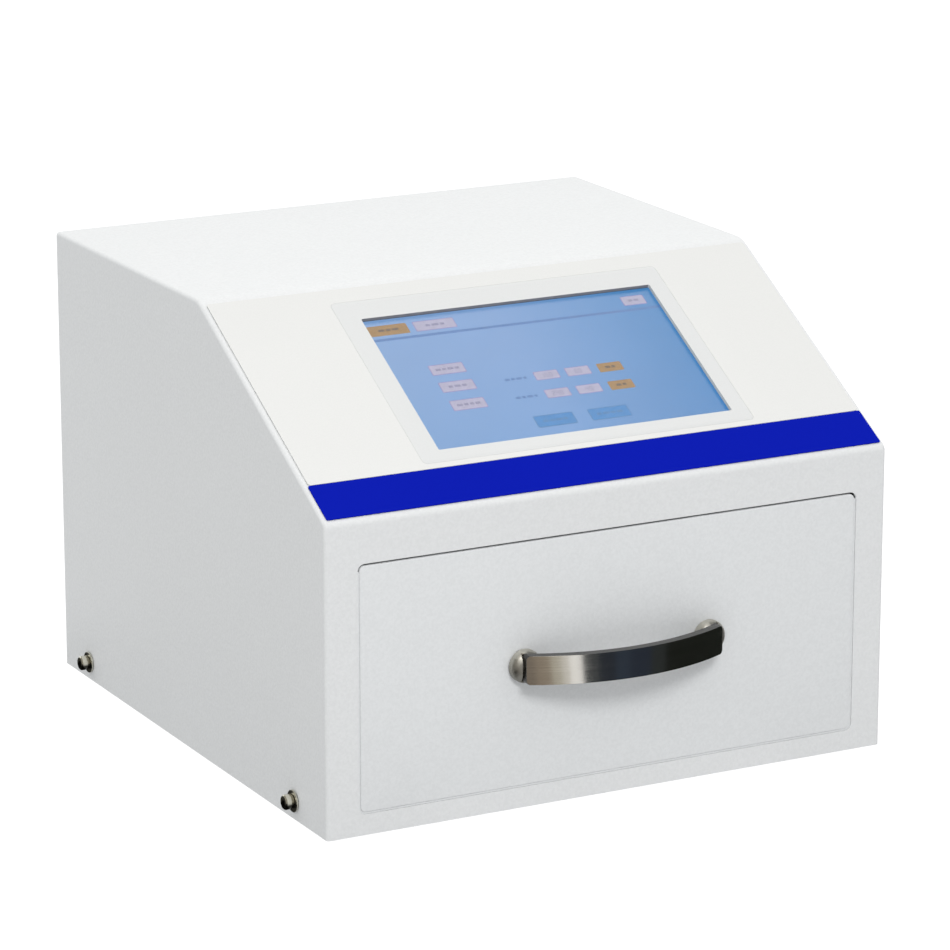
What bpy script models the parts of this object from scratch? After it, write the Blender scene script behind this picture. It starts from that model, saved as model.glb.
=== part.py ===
"""A bench-top reflow oven with a drawer. Metres, +Z up, the front faces -Y.

The oven is built in the cabinet's own coordinates: x across, y back from the front face and z up from
the cabinet's lower edge. One empty carries it all to its place, so that the origin lies on the ground
under the middle of the object's bounding box.
"""

import math

import bmesh
import bpy
from mathutils import Matrix, Vector

# Cabinet
WIDTH = 0.290
DEPTH = 0.296
HEIGHT = 0.220
FRONT_HEIGHT = 0.146
TOP_FRONT = 0.131  # from the front face back to the bend where the slope meets the top
SHEET = 0.0015
THIN_SHEET = 0.001
GAP = 0.0003  # between pieces that touch
FRONT_BEND = 0.004
TOP_BEND = 0.016
EDGE_ROUND = 0.0018
SLOPE = math.atan2(HEIGHT - FRONT_HEIGHT, TOP_FRONT)

# Feet
FOOT_HEIGHT = 0.006
FOOT_RADIUS = 0.009
FOOT_X = 0.100
FOOT_Y = (0.045, 0.250)

# Side screws
SIDE_SCREW_Y = (0.0339, 0.2667)
SIDE_SCREW_Z = 0.0088
SCREW_HOLE = 0.0023
SCREW_SHANK = 0.0020
SCREW_HEAD = 0.0035
SCREW_HEAD_HEIGHT = 0.0040
WASHER_RADIUS = 0.0052
WASHER_THICKNESS = 0.0008

# Control panel, in slope coordinates: x, s up the slope from the front bend, n out of the slope
FILM = 0.0004
STRIPE_S = (0.0024, 0.0242)
STRIPE_HALF = 0.1430
OVERLAY_HALF = 0.1424
OVERLAY_TOP = 0.1460
BEZEL_X = 0.0020
BEZEL_S = 0.0822
BEZEL_SIZE = (0.172, 0.109)
WINDOW_X = 0.0031
WINDOW_S = 0.0797
WINDOW_SIZE = (0.1526, 0.0890)
BEZEL_CORNER = 0.0025
BEZEL_POCKET = (0.167, 0.104)
BEZEL_FLANGE = (0.184, 0.119)
BEZEL_FRONT = GAP + FILM
BEZEL_FACE = 0.0013
BEZEL_BACK = -0.0090
FLANGE_TOP = -(SHEET + GAP)
FLANGE_THICKNESS = 0.0015
GLASS_THICKNESS = 0.0007
LCD_THICKNESS = 0.0050
BOARD_THICKNESS = 0.0016

# Drawer
DRAWER_HALF = 0.1282
DRAWER_Z = (0.0107, 0.1250)
DRAWER_GAP = 0.0010
DRAWER_CORNER = 0.0025
DRAWER_FRONT_DEPTH = 0.014
DRAWER_EDGE = 0.0006
BOX_HALF = 0.108
BOX_Y = (DRAWER_FRONT_DEPTH + GAP, 0.235)
BOX_Z = (0.018, 0.084)
BOX_FACE_HALF = 0.127
BOX_FACE_Z = (0.012, 0.124)
LEDGE_Z = 0.050
LEDGE_WIDTH = 0.008
RACK_HALF = 0.1055
RACK_Y = (0.020, 0.230)
RACK_BAR = 0.003
RACK_BARS = 12
GASKET_HALF = 0.1245
GASKET_WIDTH = 0.0050
GASKET_Z = (0.0120, 0.0955)
GASKET_THICKNESS = 0.0042

# Handle
HANDLE_X = 0.0017
HANDLE_Z = 0.0678
HANDLE_SPACING = 0.096
HANDLE_REACH = 0.0215
BOW_RADIUS = 0.108
BOW_THICKNESS = 0.0045
BOW_HEIGHT = 0.0136
BOW_HALF = 0.0512
BOW_CORNER = 0.003
POST_RADIUS = 0.0078
POST_HEIGHT = 0.0060

# Slides, measured out from the drawer box to the side frame
SLIDE_INNER_X = 0.1084
SLIDE_OUTER_X = 0.1184
SLIDE_MIDDLE_Z = 0.0560
SLIDE_WEB = 0.0011
SLIDE_HEIGHT = 0.0350
SLIDE_Y = (0.0228, 0.2430)
SLIDE_CLEARANCE = 0.0014

# Chassis
FRAME_X = 0.1188
FRAME_Y = (0.022, 0.278)
FRAME_Z = (0.0018, 0.1460)
FRAME_FLANGE = 0.014
BULKHEAD_Y = 0.020
BULKHEAD_HALF = 0.141
BULKHEAD_TOP = 0.144
BULKHEAD_HOLE_HALF = 0.1186
BULKHEAD_HOLE_Z = (0.017, 0.090)
DECK_Z = 0.1463
DECK_HALF = 0.139
DECK_Y = (0.024, 0.288)
BASE_FLANGE = 0.016

# Heater
HOOD_HALF = 0.116
HOOD_Y = (0.024, 0.240)
HOOD_Z = (0.087, 0.123)
HOOD_SHEET = 0.0008
BLANKET_Z = (0.1233, 0.1440)
BLANKET_BACK = 0.262
TUBES = 4
TUBE_RADIUS = 0.005
TUBE_HALF = 0.112
TUBE_Z = 0.1050
HOLDER_X = (0.105, 0.113)
HOLDER_Y = (0.030, 0.234)
HOLDER_Z = (0.0965, 0.1135)
TUBE_HOLE = 0.0054
PROBE_X = 0.070
PROBE_Z = 0.0930
PROBE_RADIUS = 0.0015

# Rear panel, fan and mains inlet
REAR_Y = DEPTH - SHEET
REAR_HALF = WIDTH / 2 - SHEET - GAP
REAR_PROUD = 0.0040
FAN_Z = 0.066
FAN_SIZE = 0.080
FAN_DEPTH = 0.025
FAN_HOLE = 0.038
FAN_BLADES = 7
FAN_HUB = 0.0165
GUARD_WIRE = 0.0010
GUARD_RINGS = (0.012, 0.024, 0.036)
GUARD_REACH = 0.0505  # from the middle to each corner screw's eye
INLET_X = -0.095
INLET_Z = 0.066
INLET_FLANGE = (0.031, 0.051)
INLET_BODY = (0.027, 0.047)
INLET_DEPTH = 0.025
INLET_FLANGE_THICKNESS = 0.0024
SOCKET_SIZE = (0.0242, 0.0168)
SOCKET_RISE = -0.0135
SOCKET_DEPTH = 0.0150
PIN_SPACING = 0.007
PIN_SIZE = (0.002, 0.004)
FUSE_RISE = -0.0008
FUSE_SIZE = (0.0200, 0.0056)
FUSE_DEPTH = 0.0180
ROCKER_RISE = 0.0129
ROCKER_SIZE = (0.0200, 0.0160)
ROCKER_TILT = math.radians(12)
ROCKER_CLEARANCE = 0.0014
ROCKER_PIVOT_Y = DEPTH - 0.0032

# Colours, roughness and metallic of each finish
FINISHES = {
    "powder_coat": ((0.80, 0.81, 0.81), 0.45, 0.0),
    "overlay": ((0.84, 0.84, 0.82), 0.35, 0.0),
    "stripe_blue": ((0.006, 0.012, 0.42), 0.30, 0.0),
    "bezel_white": ((0.83, 0.84, 0.84), 0.40, 0.0),
    "touch_glass": ((0.55, 0.65, 0.80), 0.08, 0.0),
    "lcd": ((0.24, 0.39, 0.66), 0.25, 0.0),
    "circuit_board": ((0.02, 0.16, 0.07), 0.45, 0.0),
    "brushed_nickel": ((0.55, 0.52, 0.47), 0.28, 1.0),
    "zinc_screw": ((0.62, 0.60, 0.56), 0.25, 1.0),
    "galvanised": ((0.52, 0.54, 0.55), 0.42, 1.0),
    "stainless": ((0.62, 0.61, 0.59), 0.30, 1.0),
    "rubber": ((0.02, 0.02, 0.02), 0.75, 0.0),
    "black_plastic": ((0.03, 0.03, 0.03), 0.45, 0.0),
    "rocker_red": ((0.50, 0.02, 0.01), 0.35, 0.0),
    "insulation": ((0.80, 0.78, 0.72), 0.95, 0.0),
    "gasket": ((0.55, 0.53, 0.48), 0.90, 0.0),
    "quartz": ((0.80, 0.78, 0.74), 0.15, 0.0),
    "ceramic": ((0.82, 0.80, 0.74), 0.55, 0.0),
    "relay_case": ((0.10, 0.11, 0.12), 0.50, 0.0),
}

TURN = {"X": Matrix.Rotation(math.pi / 2, 4, "Y"), "Y": Matrix.Rotation(-math.pi / 2, 4, "X")}
SIDES = {"left": -1, "right": 1}


def clear_scene():
    for item in list(bpy.data.objects):
        bpy.data.objects.remove(item, do_unlink=True)


def finish(slot):
    """The material of a finish, made once."""
    found = bpy.data.materials.get(slot)
    if found:
        return found
    colour, roughness, metallic = FINISHES[slot]
    made = bpy.data.materials.new(slot)
    made.use_nodes = True
    shader = made.node_tree.nodes["Principled BSDF"]
    shader.inputs["Base Color"].default_value = (*colour, 1.0)
    shader.inputs["Roughness"].default_value = roughness
    shader.inputs["Metallic"].default_value = metallic
    made.diffuse_color = (*colour, 1.0)
    return made


def empty(name, parent=None, location=(0, 0, 0), rotation=(0, 0, 0)):
    item = bpy.data.objects.new(name, None)
    bpy.context.scene.collection.objects.link(item)
    item.parent = parent
    item.location = location
    item.rotation_euler = rotation
    return item


def part(name, mesh, slot, parent, location=(0, 0, 0), rotation=(0, 0, 0)):
    """One piece of the oven, smooth where its surface is round."""
    item = bpy.data.objects.new(name, mesh)
    bpy.context.scene.collection.objects.link(item)
    item.parent = parent
    item.location = location
    item.rotation_euler = rotation
    mesh.materials.append(finish(slot))
    mesh.shade_smooth()
    mesh.set_sharp_from_angle(angle=math.radians(35))
    return item


def boolean(target, mesh, operation):
    """Cuts, joins or intersects target with a mesh given in target's own coordinates."""
    tool = bpy.data.objects.new("tool_" + target.name, mesh)
    bpy.context.scene.collection.objects.link(tool)
    tool.parent = target
    tool.hide_render = True
    tool.display_type = "WIRE"
    step = target.modifiers.new(operation.lower(), "BOOLEAN")
    step.operation = operation
    step.object = tool
    step.solver = "EXACT"


def cut(target, *meshes):
    for mesh in meshes:
        boolean(target, mesh, "DIFFERENCE")


def join(target, *meshes):
    for mesh in meshes:
        boolean(target, mesh, "UNION")


def as_mesh(solid, move=None):
    """The mesh of a bmesh, with its faces pointing out, moved by a matrix."""
    bmesh.ops.recalc_face_normals(solid, faces=solid.faces)
    if move is not None:
        solid.transform(move)
    mesh = bpy.data.meshes.new("shape")
    solid.to_mesh(mesh)
    solid.free()
    return mesh


def merged(*meshes):
    """Several closed shapes in one mesh, for a tool that cuts or joins in one step."""
    solid = bmesh.new()
    for mesh in meshes:
        solid.from_mesh(mesh)
    return as_mesh(solid)


def rounded(corners, radii, steps=4):
    """An outline whose corners are arcs; a radius of 0 keeps the corner."""
    outline = []
    count = len(corners)
    for index, corner in enumerate(corners):
        radius = radii[index] if isinstance(radii, (list, tuple)) else radii
        corner = Vector(corner)
        if radius == 0:
            outline.append(corner)
            continue
        back = (Vector(corners[index - 1]) - corner).normalized()
        ahead = (Vector(corners[(index + 1) % count]) - corner).normalized()
        half = back.angle(ahead) / 2
        middle = corner + (back + ahead).normalized() * radius / math.sin(half)
        start = corner + back * radius / math.tan(half) - middle
        sweep = math.pi - 2 * half
        if back.x * ahead.y - back.y * ahead.x > 0:
            sweep = -sweep
        for step in range(steps + 1):
            turned_by = Matrix.Rotation(sweep * step / steps, 2)
            outline.append(middle + turned_by @ start)
    return outline


def rectangle(middle, size, radius=0.0, steps=4):
    """A rectangle's outline, anticlockwise, with round corners."""
    (u, v), (width, height) = middle, size
    half_u, half_v = width / 2, height / 2
    low, high = (u - half_u, v - half_v), (u + half_u, v + half_v)
    return rounded([low, (high[0], low[1]), high, (low[0], high[1])], radius, steps)


def circle(middle, radius, steps=24):
    turns = [2 * math.pi * step / steps for step in range(steps)]
    return [(middle[0] + radius * math.cos(turn), middle[1] + radius * math.sin(turn)) for turn in turns]


def placed(axis, u, v, along):
    """A point of a prism along an axis: (y, z) for X, (x, z) for Y and (x, y) for Z."""
    return {"X": (along, u, v), "Y": (u, along, v), "Z": (u, v, along)}[axis]


def prism(axis, outline, start, end):
    """An outline extruded along an axis from start to end."""
    solid = bmesh.new()
    ring = [solid.verts.new(placed(axis, u, v, start)) for u, v in outline]
    face = solid.faces.new(ring)
    moved = bmesh.ops.extrude_face_region(solid, geom=[face])["geom"]
    corners = [item for item in moved if isinstance(item, bmesh.types.BMVert)]
    bmesh.ops.translate(solid, verts=corners, vec=placed(axis, 0, 0, end - start))
    return as_mesh(solid)


def block(low, high):
    """A box between its lowest and its highest corner."""
    outline = [(low[0], low[1]), (high[0], low[1]), (high[0], high[1]), (low[0], high[1])]
    return prism("Z", outline, low[2], high[2])


def mirrored_block(side, low, high):
    """A block given for the right side, on the side asked for."""
    across = sorted((side * low[0], side * high[0]))
    return block((across[0], *low[1:]), (across[1], *high[1:]))


def rod(axis, middle, radius, start, end, steps=16):
    return prism(axis, circle(middle, radius, steps), start, end)


def turned(profile, axis="Z", steps=24, hollow=False):
    """A profile of (radius, height) points turned about an axis. A hollow one is a closed loop."""
    solid = bmesh.new()
    rings = []
    for radius, height in profile:
        points = circle((0, 0), radius, steps)
        rings.append([solid.verts.new((x, y, height)) for x, y in points])
    pairs = list(zip(rings, rings[1:]))
    if hollow:
        pairs.append((rings[-1], rings[0]))
    for lower, upper in pairs:
        for step in range(steps):
            after = (step + 1) % steps
            solid.faces.new((lower[step], lower[after], upper[after], upper[step]))
    if not hollow:
        solid.faces.new(rings[0])
        solid.faces.new(rings[-1])
    return as_mesh(solid, TURN.get(axis))


def bevelled(mesh, chosen, width, segments):
    """A mesh with the edges that pass a test rounded."""
    solid = bmesh.new()
    solid.from_mesh(mesh)
    solid.edges.ensure_lookup_table()
    edges = [edge for edge in solid.edges if chosen(edge)]
    bmesh.ops.bevel(solid, geom=edges, offset=width, segments=segments, profile=0.5, affect="EDGES")
    return as_mesh(solid)


def both_ends(edge, test):
    return all(test(vertex.co) for vertex in edge.verts)


def slope_height(y):
    """How high the cover's outer face is at a distance back along the slope."""
    return FRONT_HEIGHT + y * math.tan(SLOPE)


# Cabinet


def cover_outline(inset, front_bend, top_bend, rear, lower):
    """The cover's side view, inset by a wall's thickness."""
    shift = inset / math.cos(SLOPE)
    top = HEIGHT - inset
    bend_y = (top + shift - FRONT_HEIGHT) / math.tan(SLOPE)
    front_top = slope_height(inset) - shift
    corners = [(inset, lower), (rear, lower), (rear, top), (bend_y, top), (inset, front_top)]
    return rounded(corners, [0, 0, 0, top_bend, front_bend], steps=5)


def make_cover(cabinet, panel):
    """The welded cover: front frame, slope, top and sides of one sheet thickness, open below and behind."""
    half = WIDTH / 2
    shell = prism("X", cover_outline(0, FRONT_BEND, TOP_BEND, DEPTH, 0), -half, half)

    def side_edge(edge):
        on_side = both_ends(edge, lambda point: abs(abs(point.x) - half) < 1e-6)
        along = abs(edge.verts[0].co.x - edge.verts[1].co.x) < 1e-6
        at_rear = both_ends(edge, lambda point: abs(point.y - DEPTH) < 1e-6)
        below = both_ends(edge, lambda point: abs(point.z) < 1e-6)
        return on_side and along and not at_rear and not below

    cover = part("outer_cover", bevelled(shell, side_edge, EDGE_ROUND, 3), "powder_coat", cabinet)
    outline = cover_outline(SHEET, FRONT_BEND - SHEET, TOP_BEND - SHEET, DEPTH + SHEET, -SHEET)
    cut(cover, prism("X", outline, SHEET - half, half - SHEET))
    middle = (0, sum(DRAWER_Z) / 2)
    size = (2 * (DRAWER_HALF + DRAWER_GAP), DRAWER_Z[1] - DRAWER_Z[0] + 2 * DRAWER_GAP)
    opening = rectangle(middle, size, DRAWER_CORNER + DRAWER_GAP)
    cut(cover, prism("Y", opening, -SHEET, 2 * SHEET))
    window = (BEZEL_SIZE[0] + 2 * GAP, BEZEL_SIZE[1] + 2 * GAP)
    outline = rectangle((BEZEL_X, BEZEL_S), window, BEZEL_CORNER + GAP)
    hole = prism("Z", outline, -3 * SHEET, SHEET)
    hole.transform(panel.matrix_local)
    cut(cover, hole, side_screw_holes(half + SHEET))


def side_screw_holes(reach):
    holes = [rod("X", (y, SIDE_SCREW_Z), SCREW_HOLE, -reach, reach) for y in SIDE_SCREW_Y]
    return merged(*holes)


def make_base(cabinet):
    """The base pan: a floor with turned-up flanges, the front one low enough for the drawer."""
    half = REAR_HALF
    front = SHEET + GAP
    rear = REAR_Y - GAP
    pan = part("base_pan", block((-half, front, 0), (half, rear, BASE_FLANGE)), "powder_coat", cabinet)
    cut(pan, block((SHEET - half, front + SHEET, SHEET), (half - SHEET, rear - SHEET, 2 * BASE_FLANGE)))
    front_flange = DRAWER_Z[0] - 2 * DRAWER_GAP
    over_drawer = block((SHEET - half, 0, front_flange), (half - SHEET, 2 * front + SHEET, 2 * BASE_FLANGE))
    cut(pan, over_drawer, side_screw_holes(WIDTH))
    slots = []
    for side in SIDES.values():
        for row in range(8):
            y = 0.090 + 0.014 * row
            outline = rectangle((side * 0.065, y), (0.050, 0.004), 0.0018, 2)
            slots.append(prism("Z", outline, -SHEET, 2 * SHEET))
    cut(pan, merged(*slots))


def make_rear_panel(cabinet):
    """The flat back, with the fan's hole, the inlet's cut-out and two banks of vents."""
    top = HEIGHT - SHEET - GAP
    outline = rectangle((0, (top + GAP) / 2), (2 * REAR_HALF, top - GAP), 0.001, 2)
    panel = part("rear_panel", prism("Y", outline, REAR_Y, DEPTH), "powder_coat", cabinet)
    through = (REAR_Y - SHEET, DEPTH + SHEET)
    inlet = (INLET_BODY[0] + 2 * GAP, INLET_BODY[1] + 2 * GAP)
    cut(panel, rod("Y", (0, FAN_Z), FAN_HOLE, *through, steps=40))
    cut(panel, prism("Y", rectangle((INLET_X, INLET_Z), inlet), *through))
    vents = []
    for side in SIDES.values():
        for row in range(7):
            middle = (side * 0.070, 0.150 + 0.0085 * row)
            vents.append(prism("Y", rectangle(middle, (0.060, 0.004), 0.0018, 2), *through))
    cut(panel, merged(*vents))


def make_feet(cabinet):
    top = -GAP
    profile = [
        (0.0045, -0.0030),
        (0.0045, -FOOT_HEIGHT),
        (FOOT_RADIUS - 0.0018, -FOOT_HEIGHT),
        (FOOT_RADIUS - 0.0008, -FOOT_HEIGHT + 0.0008),
        (FOOT_RADIUS, top),
    ]
    for end, y in zip(("front", "rear"), FOOT_Y):
        for side, sign in SIDES.items():
            part(f"foot_{end}_{side}", turned(profile), "rubber", cabinet, (sign * FOOT_X, y, 0))


def cap_screw(length):
    """A socket cap screw along +Z: the shank ends at -length, the head stands from 0 to its height."""
    socket = 0.0018
    profile = [
        (SCREW_SHANK, -length),
        (SCREW_SHANK, 0),
        (SCREW_HEAD, 0),
        (SCREW_HEAD, SCREW_HEAD_HEIGHT - 0.0005),
        (SCREW_HEAD - 0.0005, SCREW_HEAD_HEIGHT),
        (socket, SCREW_HEAD_HEIGHT),
        (socket, SCREW_HEAD_HEIGHT - 0.0022),
    ]
    return turned(profile, steps=18)


def make_side_screws(cabinet):
    """Four cap screws through the cover into the base pan's flanges, each on a washer."""
    face = WIDTH / 2 + GAP
    inside, outside = SCREW_HOLE, WASHER_RADIUS
    washer = [(inside, 0), (outside, 0), (outside, WASHER_THICKNESS), (inside, WASHER_THICKNESS)]
    for end, y in zip(("front", "rear"), SIDE_SCREW_Y):
        for side, sign in SIDES.items():
            turn = (0, sign * math.pi / 2, 0)
            seat = face + WASHER_THICKNESS + GAP
            at_head = (sign * seat, y, SIDE_SCREW_Z)
            at_washer = (sign * face, y, SIDE_SCREW_Z)
            part(f"side_screw_{end}_{side}", cap_screw(0.008), "zinc_screw", cabinet, at_head, turn)
            ring = turned(washer, hollow=True)
            part(f"side_washer_{end}_{side}", ring, "zinc_screw", cabinet, at_washer, turn)


# Control panel, in slope coordinates


def make_overlay(panel):
    """The printed film round the display and the coloured strip below it."""
    lower = STRIPE_S[1] + GAP
    outline = rectangle((0, (lower + OVERLAY_TOP) / 2), (2 * OVERLAY_HALF, OVERLAY_TOP - lower), 0.001)
    film = part("panel_overlay", prism("Z", outline, GAP, GAP + FILM), "overlay", panel)
    size = (BEZEL_SIZE[0] + 2 * GAP, BEZEL_SIZE[1] + 2 * GAP)
    cut(film, prism("Z", rectangle((BEZEL_X, BEZEL_S), size, BEZEL_CORNER + GAP), -SHEET, SHEET))
    middle = (0, sum(STRIPE_S) / 2)
    stripe = rectangle(middle, (2 * STRIPE_HALF, STRIPE_S[1] - STRIPE_S[0]), 0.0006, 2)
    part("accent_stripe", prism("Z", stripe, GAP, GAP + FILM), "stripe_blue", panel)


def make_bezel(panel):
    """The display's frame: a face in the cover's window, a wall behind it and a flange behind the sheet."""
    middle = (BEZEL_X, BEZEL_S)
    outline = rectangle(middle, BEZEL_SIZE, BEZEL_CORNER)
    bezel = part("display_bezel", prism("Z", outline, BEZEL_BACK, BEZEL_FRONT), "bezel_white", panel)
    flange = rectangle(middle, BEZEL_FLANGE, 0.004)
    join(bezel, prism("Z", flange, FLANGE_TOP - FLANGE_THICKNESS, FLANGE_TOP))
    pocket = rectangle(middle, BEZEL_POCKET, 0.001, 2)
    cut(bezel, prism("Z", pocket, 2 * BEZEL_BACK, BEZEL_FRONT - BEZEL_FACE))
    window = rectangle((WINDOW_X, WINDOW_S), WINDOW_SIZE, 0.0006, 2)
    cut(bezel, prism("Z", window, BEZEL_BACK, -BEZEL_BACK))


def make_display(panel):
    """The touch glass, the LCD and its circuit board, stacked behind the bezel's face."""
    middle = (BEZEL_X, BEZEL_S)
    glass_top = BEZEL_FRONT - BEZEL_FACE - GAP
    size = (BEZEL_POCKET[0] - 2 * GAP, BEZEL_POCKET[1] - 2 * GAP)
    glass = prism("Z", rectangle(middle, size, 0.0007, 2), glass_top - GLASS_THICKNESS, glass_top)
    part("touch_glass", glass, "touch_glass", panel)
    lcd_top = glass_top - GLASS_THICKNESS - GAP
    lcd = prism("Z", rectangle(middle, size), lcd_top - LCD_THICKNESS, lcd_top)
    part("lcd_panel", lcd, "lcd", panel)
    board_top = BEZEL_BACK - GAP
    board_size = (0.150, 0.090)
    board = prism("Z", rectangle(middle, board_size, 0.002, 2), board_top - BOARD_THICKNESS, board_top)
    board = part("display_board", board, "circuit_board", panel)
    under = board_top - BOARD_THICKNESS
    chips = []
    for x, s, width, height, rise in (
        (-0.030, 0.085, 0.020, 0.020, 0.0016),
        (0.010, 0.070, 0.014, 0.020, 0.0012),
        (0.045, 0.105, 0.012, 0.016, 0.0060),
    ):
        chips.append(block((x, s, under - rise), (x + width, s + height, under + GAP)))
    join(board, merged(*chips))


# Drawer


def make_drawer_front(drawer):
    """A pan folded from sheet, with its insulation inside."""
    middle = (0, sum(DRAWER_Z) / 2)
    size = (2 * DRAWER_HALF, DRAWER_Z[1] - DRAWER_Z[0])
    pan = prism("Y", rectangle(middle, size, DRAWER_CORNER), 0, DRAWER_FRONT_DEPTH)

    def front_edge(edge):
        return both_ends(edge, lambda point: abs(point.y) < 1e-6)

    pan = part("drawer_front", bevelled(pan, front_edge, DRAWER_EDGE, 2), "powder_coat", drawer)
    inside = (size[0] - 2 * SHEET, size[1] - 2 * SHEET)
    inner_corner = DRAWER_CORNER - SHEET / 2
    cut(pan, prism("Y", rectangle(middle, inside, inner_corner, 2), SHEET, 2 * DRAWER_FRONT_DEPTH))
    cut(pan, handle_screw_rods(SCREW_HOLE, -SHEET, 2 * SHEET))
    filling = (inside[0] - 2 * GAP, inside[1] - 2 * GAP)
    filling = rectangle(middle, filling, inner_corner, 2)
    filling = prism("Y", filling, SHEET + GAP, DRAWER_FRONT_DEPTH - GAP)
    filling = part("drawer_insulation", filling, "insulation", drawer)
    cut(filling, handle_screw_rods(0.0050, 0, 0.0052))


def handle_screw_rods(radius, start, end):
    """Two rods along Y where the handle's screws go."""
    rods = []
    for side in SIDES.values():
        middle = (HANDLE_X + side * HANDLE_SPACING / 2, HANDLE_Z)
        rods.append(rod("Y", middle, radius, start, end))
    return merged(*rods)


def make_drawer_box(drawer):
    """A steel box, open on top, on a face plate that closes the drawer front's back."""
    front, back = BOX_Y
    low, high = BOX_Z
    face_size = (2 * BOX_FACE_HALF, BOX_FACE_Z[1] - BOX_FACE_Z[0])
    face = rectangle((0, sum(BOX_FACE_Z) / 2), face_size, 0.001, 2)
    box = part("drawer_box", prism("Y", face, front, front + THIN_SHEET), "stainless", drawer)
    join(box, block((-BOX_HALF, front + THIN_SHEET / 2, low), (BOX_HALF, back, high)))
    inside = BOX_HALF - THIN_SHEET
    floor = low + THIN_SHEET
    shelf = inside - LEDGE_WIDTH
    cut(box, block((-inside, front + THIN_SHEET, LEDGE_Z), (inside, back - THIN_SHEET, 2 * high)))
    cut(box, block((-shelf, front + THIN_SHEET, floor), (shelf, back - THIN_SHEET, LEDGE_Z + GAP)))
    under = LEDGE_Z - THIN_SHEET
    for side in SIDES.values():
        low_corner = (shelf - GAP, front + THIN_SHEET, floor)
        cut(box, mirrored_block(side, low_corner, (inside, back - THIN_SHEET, under)))


def make_rack(drawer):
    """The slotted rack that boards lie on, loose on the box's ledges."""
    low = LEDGE_Z + GAP
    rack = block((-RACK_HALF, RACK_Y[0], low), (RACK_HALF, RACK_Y[1], low + RACK_BAR))
    rack = part("board_rack", rack, "stainless", drawer)
    pitch = (RACK_Y[1] - RACK_Y[0] - RACK_BAR) / (RACK_BARS - 1)
    slots = []
    for index in range(RACK_BARS - 1):
        start = RACK_Y[0] + RACK_BAR + pitch * index
        for side in SIDES.values():
            low_corner = (RACK_BAR / 2, start, 0)
            high_corner = (RACK_HALF - RACK_BAR, start + pitch - RACK_BAR, 2 * low)
            slots.append(mirrored_block(side, low_corner, high_corner))
    cut(rack, merged(*slots))


def make_gasket(drawer):
    """A flat fibre seal round the box, pressed on the bulkhead when the drawer shuts."""
    start = BOX_Y[0] + THIN_SHEET + GAP
    middle = (0, sum(GASKET_Z) / 2)
    size = (2 * GASKET_HALF, GASKET_Z[1] - GASKET_Z[0])
    hole = (size[0] - 2 * GASKET_WIDTH, size[1] - 2 * GASKET_WIDTH)
    gasket = prism("Y", rectangle(middle, size, 0.004), start, start + GASKET_THICKNESS)
    gasket = part("drawer_gasket", gasket, "gasket", drawer)
    cut(gasket, prism("Y", rectangle(middle, hole, 0.001, 2), 0, 2 * BULKHEAD_Y))


def bow_band(inner, outer, half, rise, steps=20):
    """A curved band seen from above, bowed towards -Y about a centre behind the drawer front."""
    centre = BOW_RADIUS - HANDLE_REACH
    points = []
    for radius, order in ((outer, 1), (inner, -1)):
        swing = math.asin(half / radius)
        for step in range(steps + 1):
            turn = order * (2 * step / steps - 1) * swing
            points.append((HANDLE_X + radius * math.sin(turn), centre - radius * math.cos(turn)))
    return prism("Z", points, HANDLE_Z - rise, HANDLE_Z + rise)


def make_handle(drawer):
    """The bow, its two round posts and the screws that hold them from inside the pan."""
    inner = BOW_RADIUS - BOW_THICKNESS
    half_height = BOW_HEIGHT / 2

    def long_edge(edge):
        along = abs(edge.verts[0].co.z - edge.verts[1].co.z) < 1e-6
        return along and both_ends(edge, lambda point: abs(point.x - HANDLE_X) < BOW_HALF + GAP)

    bow = bevelled(bow_band(inner, BOW_RADIUS, BOW_HALF, half_height), long_edge, 0.0006, 2)
    bow = part("handle_bow", bow, "brushed_nickel", drawer)
    front_view = rectangle((HANDLE_X, HANDLE_Z), (2 * BOW_HALF - GAP, BOW_HEIGHT + GAP), BOW_CORNER)
    boolean(bow, prism("Y", front_view, -2 * HANDLE_REACH, HANDLE_REACH), "INTERSECT")
    profile = [(POST_RADIUS, GAP), (POST_RADIUS, POST_HEIGHT - 0.0012), (POST_RADIUS - 0.0012, POST_HEIGHT)]
    seat = bow_band(inner - GAP, BOW_RADIUS, BOW_HALF + GAP, half_height + GAP)
    for side, sign in SIDES.items():
        at = (HANDLE_X + sign * HANDLE_SPACING / 2, 0, HANDLE_Z)
        to_place = Matrix.Translation(at) @ Matrix.Rotation(math.pi / 2, 4, "X")
        post = turned(profile, steps=28)
        post.transform(to_place)
        post = part(f"handle_post_{side}", post, "brushed_nickel", drawer)
        cut(post, seat.copy(), rod("Y", (at[0], at[2]), SCREW_HOLE, -0.0040, 0.001, steps=12))
        screw = turned([(SCREW_SHANK, -0.0055), (SCREW_SHANK, 0), (0.0040, 0), (0.0034, 0.0024)], steps=12)
        screw.transform(Matrix.Translation((at[0], SHEET + GAP, at[2])) @ TURN["Y"])
        part(f"handle_screw_{side}", screw, "zinc_screw", drawer)


# Slides


def channel(side, web, open_to, height, start, end):
    """A C section along Y: its web stands at web, and its lips reach to open_to."""
    low = SLIDE_MIDDLE_Z - height / 2
    high = SLIDE_MIDDLE_Z + height / 2
    thick = math.copysign(SLIDE_WEB, open_to - web)
    outline = [
        (web, low),
        (open_to, low),
        (open_to, low + SLIDE_WEB),
        (web + thick, low + SLIDE_WEB),
        (web + thick, high - SLIDE_WEB),
        (open_to, high - SLIDE_WEB),
        (open_to, high),
        (web, high),
    ]
    return prism("Y", [(side * x, z) for x, z in outline], start, end)


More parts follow.
